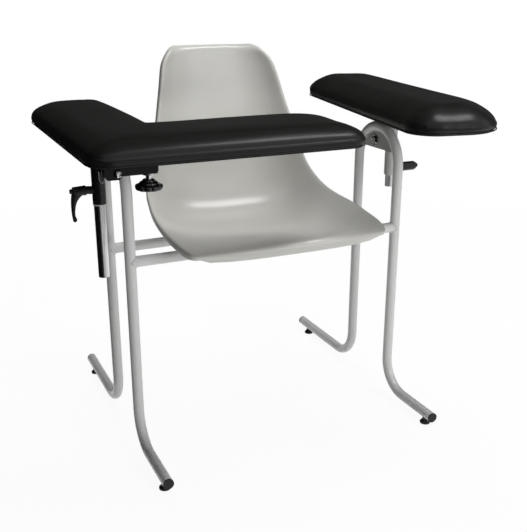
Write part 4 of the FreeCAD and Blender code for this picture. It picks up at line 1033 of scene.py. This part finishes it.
def gusset_welds():
    """Short beads on both faces of the gussets, along the arch tube."""
    ends = (0, GUSSET_RIPPLES - 1)
    for side in ("left", "right"):
        low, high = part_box(f"{side}_gusset")
        beads = []
        for x in (low.x, high.x):
            for start, stop in GUSSET_WELDS:
                places = []
                for step in range(GUSSET_RIPPLES):
                    angle = math.radians(start + (stop - start) * step / ends[1])
                    places.append(Vector((
                        x, ARCH_INNER * math.cos(angle), ARCH_CENTRE_Z + ARCH_INNER * math.sin(angle))))
                name = f"{side}_gusset_weld"
                beads.append(cord(places, WELD_RADIUS, name, closed=False, thickness=ripple(ends)))
        yield join(*beads)


def staple_ring(node, height):
    """Staples under a board, a little askew as shot by hand."""
    ring = even_ring(inside_of(outline_at(node, height), STAPLE_INSET), STAPLE_GAP)
    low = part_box(node)[0].z
    staples = []
    for number, place in enumerate(ring):
        along = ring[(number + 1) % len(ring)] - ring[number - 1]
        askew = (number * STAPLE_STRIDE) % (2 * STAPLE_ASKEW + 1) - STAPLE_ASKEW
        turn = math.atan2(along.y, along.x) + math.radians(askew)
        drop_all()
        bpy.ops.mesh.primitive_cube_add(size=1, location=(0, 0, 0))
        staple = bpy.context.object
        staple.scale = STAPLE_SIZE
        apply_place()
        round_edges(staple, STAPLE_ROUNDING, segments=1)
        staple.location = (place.x, place.y, low - STAPLE_BELOW)
        staple.rotation_euler.z = turn
        take(staple)
        apply_place()
        staples.append(staple)
    return join(*staples)


def under_strip(node, height):
    """Cover turned under a board: a flat strip just inside its outline."""
    inset, half, flat = UNDER_STRIP
    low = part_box(node)[0].z
    ring = even_ring(inside_of(outline_at(node, height), inset), STRIP_STEP)
    for place in ring:
        place.z = low
    strip = cord(ring, half, f"{node}_strip")
    edit_all()
    bpy.ops.transform.resize(value=(1, 1, flat), center_override=(0, 0, low))
    bpy.ops.transform.translate(value=(0, 0, -half * flat))
    bpy.ops.object.mode_set(mode="OBJECT")
    return strip


class CHAIR_OT_details(bpy.types.Operator):
    """Makes the welds, the staples and turned-under cover below the boards, and the wire clip"""

    bl_idname = "chair.details"
    bl_label = "Welds, staples and clip"

    def execute(self, context):
        for bead in (*crossbar_welds(), *gusset_welds()):
            complete(bead, bead.name, "chair", "frame_paint", angle=None)
        for side, body in (("left", "left_top"), ("right", "right_arm")):
            node = f"{side}_arm_board"
            low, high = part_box(node)
            middle = (low.z + high.z) / 2
            strip = under_strip(node, middle)
            complete(strip, f"{side}_turned_under_cover", body, "vinyl", angle=None)
            staples = staple_ring(node, middle)
            complete(staples, f"{side}_staples", body, "bright_steel")
        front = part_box("left_sleeve_bracket")[0].y - CLIP_WIRE
        places = [Vector((x * MM, front, z * MM)) for x, z in CLIP_PATH]
        clip = cord(places, CLIP_WIRE, "left_sleeve_clip", closed=False)
        complete(clip, "left_sleeve_clip", "chair", "bright_steel", angle=None)
        return {"FINISHED"}


# Studio

FLOOR_SIZE = 24
FLOOR_BACK = 6              # how far behind the chair the floor's middle is
FLOOR_WHITE = 0.94          # share of plain white in what is seen of the floor near the chair
FLOOR_FADE = (0.9, 2.4)     # distances between which the floor runs out to plain white
STRIP_SHARE = 0.35          # part of the front light that comes from the strip, which shows in the gloss
# Each lamp's name, place, target, size, setting, share of that power, and whether it shows in the gloss
LAMPS = [
    ("key lamp", (0.95, -0.5, 2.6), (0, 0, 0.45), (0.7, 0.9), "key", 1.0, True),
    ("front lamp", (1.2, -2.4, 1.45), (0, 0, 0.6), (0.7, 1.6), "front", STRIP_SHARE, True),
    ("soft front lamp", (0.9, -2.6, 1.5), (0, 0, 0.5), (1.2, 1.4), "front", 1 - STRIP_SHARE, False),
    ("top lamp", (0.1, 0.1, 2.7), (0.1, 0.1, 0), (1.6, 1.4), "top", 1.0, False),
    ("rear lamp", (0.3, 1.8, 2.4), (0, 0, 0.4), (1.6, 1.2), "rear", 1.0, False),
    ("low lamp", (0.4, -2.7, 0.3), (0, 0, 0.4), (1.6, 0.5), "low", 1.0, False),
]
# Each flag's name, place, target and size
FLAGS = [
    ("rear flag", (0.3, 3.2, 2.0), (0.3, 0, 2.0), (8.0, 5.0)),
    ("top flag", (0.3, 1.4, 3.7), (0.3, 1.4, 0), (7.0, 4.2)),
    ("left flag", (-2.9, 0.0, 1.8), (0, 0.0, 1.8), (6.4, 3.9)),
    ("front flag", (-0.4, -3.2, 0.8), (-0.4, 0, 0.8), (5.0, 1.7)),
    ("right flag", (3.3, 1.6, 1.8), (0, 1.6, 1.8), (4.2, 3.9)),
    ("left floor flag", (-2.2, -0.3, 0.02), (-2.2, -0.3, 1), (3.6, 6.0)),
]
CAMERA_PLACE = (-0.698774, -1.551306, 0.916073)
CAMERA_YAW = 24.641
CAMERA_PITCH = 19.334
CAMERA_SHIFT = (0.0041, 0.0184)


def aim(lamp, target):
    """Turns a lamp or camera towards a point."""
    way = Vector(target) - lamp.location
    lamp.rotation_euler = way.to_track_quat("-Z", "Y").to_euler()


def softbox(name, place, target, size, power, mirrored):
    """A flat lamp, which shows in the gloss only where mirrored is true."""
    data = bpy.data.lights.new(name, "AREA")
    data.shape = "RECTANGLE"
    data.size, data.size_y = size
    data.energy = power
    lamp = bpy.data.objects.new(name, data)
    bpy.context.scene.collection.objects.link(lamp)
    lamp.location = place
    aim(lamp, target)
    lamp.visible_glossy = mirrored


def flag(name, place, target, size):
    """A black board beside or behind the chair, which shows only in its gloss."""
    drop_all()
    bpy.ops.mesh.primitive_plane_add(size=1, location=place)
    board = bpy.context.object
    board.name = name
    aim(board, target)
    board.scale = (*size, 1)
    apply_place()
    board.data.materials.append(flag_finish())
    for kind in ("camera", "diffuse", "transmission", "shadow", "volume_scatter"):
        setattr(board, f"visible_{kind}", False)


def flag_finish():
    """Black cloth of the studio's flags."""
    made = bpy.data.materials.get("flag cloth")
    if made is None:
        cloth = Finish("flag cloth")
        threads = cloth.between(cloth.noise(40, 3), (0.002, 0.002, 0.002), (0.006, 0.006, 0.006))
        cloth.link(threads, "Base Color")
        cloth.set(Roughness=1.0, Specular_IOR_Level=0.0)
        made = cloth.material
    return made


def seen_rays(tree):
    """1 on rays that are seen, mirrored or seen through, and 0 on those that only light."""
    rays = tree.nodes.new("ShaderNodeLightPath")
    found = rays.outputs["Is Camera Ray"]
    for kind in ("Is Glossy Ray", "Is Transmission Ray"):
        either = tree.nodes.new("ShaderNodeMath")
        either.operation = "MAXIMUM"
        tree.links.new(found, either.inputs[0])
        tree.links.new(rays.outputs[kind], either.inputs[1])
        found = either.outputs[0]
    return found


def white_room(strength):
    """A white surround: plain soft light on the object, white where seen, mirrored or seen through."""
    world = bpy.data.worlds.new("studio surround")
    bpy.context.scene.world = world
    world.use_nodes = True
    tree = world.node_tree
    tree.nodes.clear()
    mix = tree.nodes.new("ShaderNodeMixShader")
    tree.links.new(seen_rays(tree), mix.inputs["Fac"])
    for place, power in ((1, strength), (2, 1.0)):
        light = tree.nodes.new("ShaderNodeBackground")
        light.inputs["Color"].default_value = (1, 1, 1, 1)
        light.inputs["Strength"].default_value = power
        tree.links.new(light.outputs[0], mix.inputs[place])
    out = tree.nodes.new("ShaderNodeOutputWorld")
    tree.links.new(mix.outputs[0], out.inputs["Surface"])


def floor_finish():
    """White studio floor that keeps a soft shadow near the chair and runs out to plain white."""
    made = Finish("studio floor")
    tree = made.tree
    made.link(made.between(made.noise(3, 2), (0.88, 0.88, 0.88), (0.92, 0.92, 0.92)), "Base Color")
    made.set(Roughness=0.8, Specular_IOR_Level=0.0)
    away = made.add("ShaderNodeVectorMath", {0: made.place}, operation="LENGTH").outputs["Value"]
    share = made.times(seen_rays(tree), made.span(away, *FLOOR_FADE, FLOOR_WHITE, 1.0))
    glow = made.add("ShaderNodeEmission", {"Color": (1, 1, 1, 1), "Strength": 1.0})
    mix = made.add("ShaderNodeMixShader", {"Fac": share, 1: made.shader.outputs[0], 2: glow.outputs[0]})
    out = next(n for n in tree.nodes if n.type == "OUTPUT_MATERIAL")
    tree.links.new(mix.outputs[0], out.inputs["Surface"])
    return made.material


class CHAIR_OT_studio(bpy.types.Operator):
    """Sets up the floor, surround, lamps and camera"""

    bl_idname = "chair.studio"
    bl_label = "Studio"

    def execute(self, context):
        scene = context.scene
        studio = scene.chair_studio
        drop_all()
        bpy.ops.mesh.primitive_grid_add(
            x_subdivisions=8, y_subdivisions=8, size=FLOOR_SIZE, location=(0, FLOOR_BACK, cad_box[0].z))
        floor = bpy.context.object
        floor.name = "studio_floor"
        apply_place()
        floor.data.materials.append(floor_finish())
        white_room(studio.room)
        for name, place, target, size, setting, share, mirrored in LAMPS:
            softbox(name, place, target, size, getattr(studio, setting) * share, mirrored)
        for row in FLAGS:
            flag(*row)
        data = bpy.data.cameras.new("camera")
        camera = bpy.data.objects.new("camera", data)
        scene.collection.objects.link(camera)
        camera.location = CAMERA_PLACE
        camera.rotation_euler = (math.radians(90 - CAMERA_PITCH), 0, math.radians(-CAMERA_YAW))
        data.lens = studio.lens
        data.sensor_width = 36
        data.shift_x, data.shift_y = CAMERA_SHIFT
        data.clip_end = 100
        data.dof.use_dof = False
        scene.camera = camera
        scene.view_settings.view_transform = "Standard"
        return {"FINISHED"}


class CHAIR_PT_panel(bpy.types.Panel):
    """Steps and settings of the chair"""

    bl_idname = "CHAIR_PT_panel"
    bl_label = "Blood-drawing chair"
    bl_space_type = "VIEW_3D"
    bl_region_type = "UI"
    bl_category = "Chair"

    def draw(self, context):
        for step in STEPS:
            self.layout.operator(step.bl_idname)
        for name, group in GROUPS.items():
            box = self.layout.box()
            for setting in group.__annotations__:
                box.prop(getattr(context.scene, name), setting)


STEPS = (CHAIR_OT_finishes, CHAIR_OT_pads, CHAIR_OT_levers, CHAIR_OT_knob, CHAIR_OT_details, CHAIR_OT_studio)
GROUPS = {
    "chair_finishes": ChairFinishes,
    "chair_pads": ChairPads,
    "chair_mouldings": ChairMouldings,
    "chair_studio": ChairStudio,
}


def register():
    for made in (*GROUPS.values(), *STEPS, CHAIR_PT_panel):
        bpy.utils.register_class(made)
    for name, group in GROUPS.items():
        setattr(bpy.types.Scene, name, bpy.props.PointerProperty(type=group))


def unregister():
    for name in GROUPS:
        delattr(bpy.types.Scene, name)
    for made in (CHAIR_PT_panel, *reversed(STEPS), *GROUPS.values()):
        bpy.utils.unregister_class(made)


def main():
    register()
    bpy.ops.chair.finishes()
    bpy.ops.chair.pads()
    bpy.ops.chair.levers()
    bpy.ops.chair.knob()
    bpy.ops.chair.details()
    bpy.ops.chair.studio()


if __name__ == "__main__":
    main()
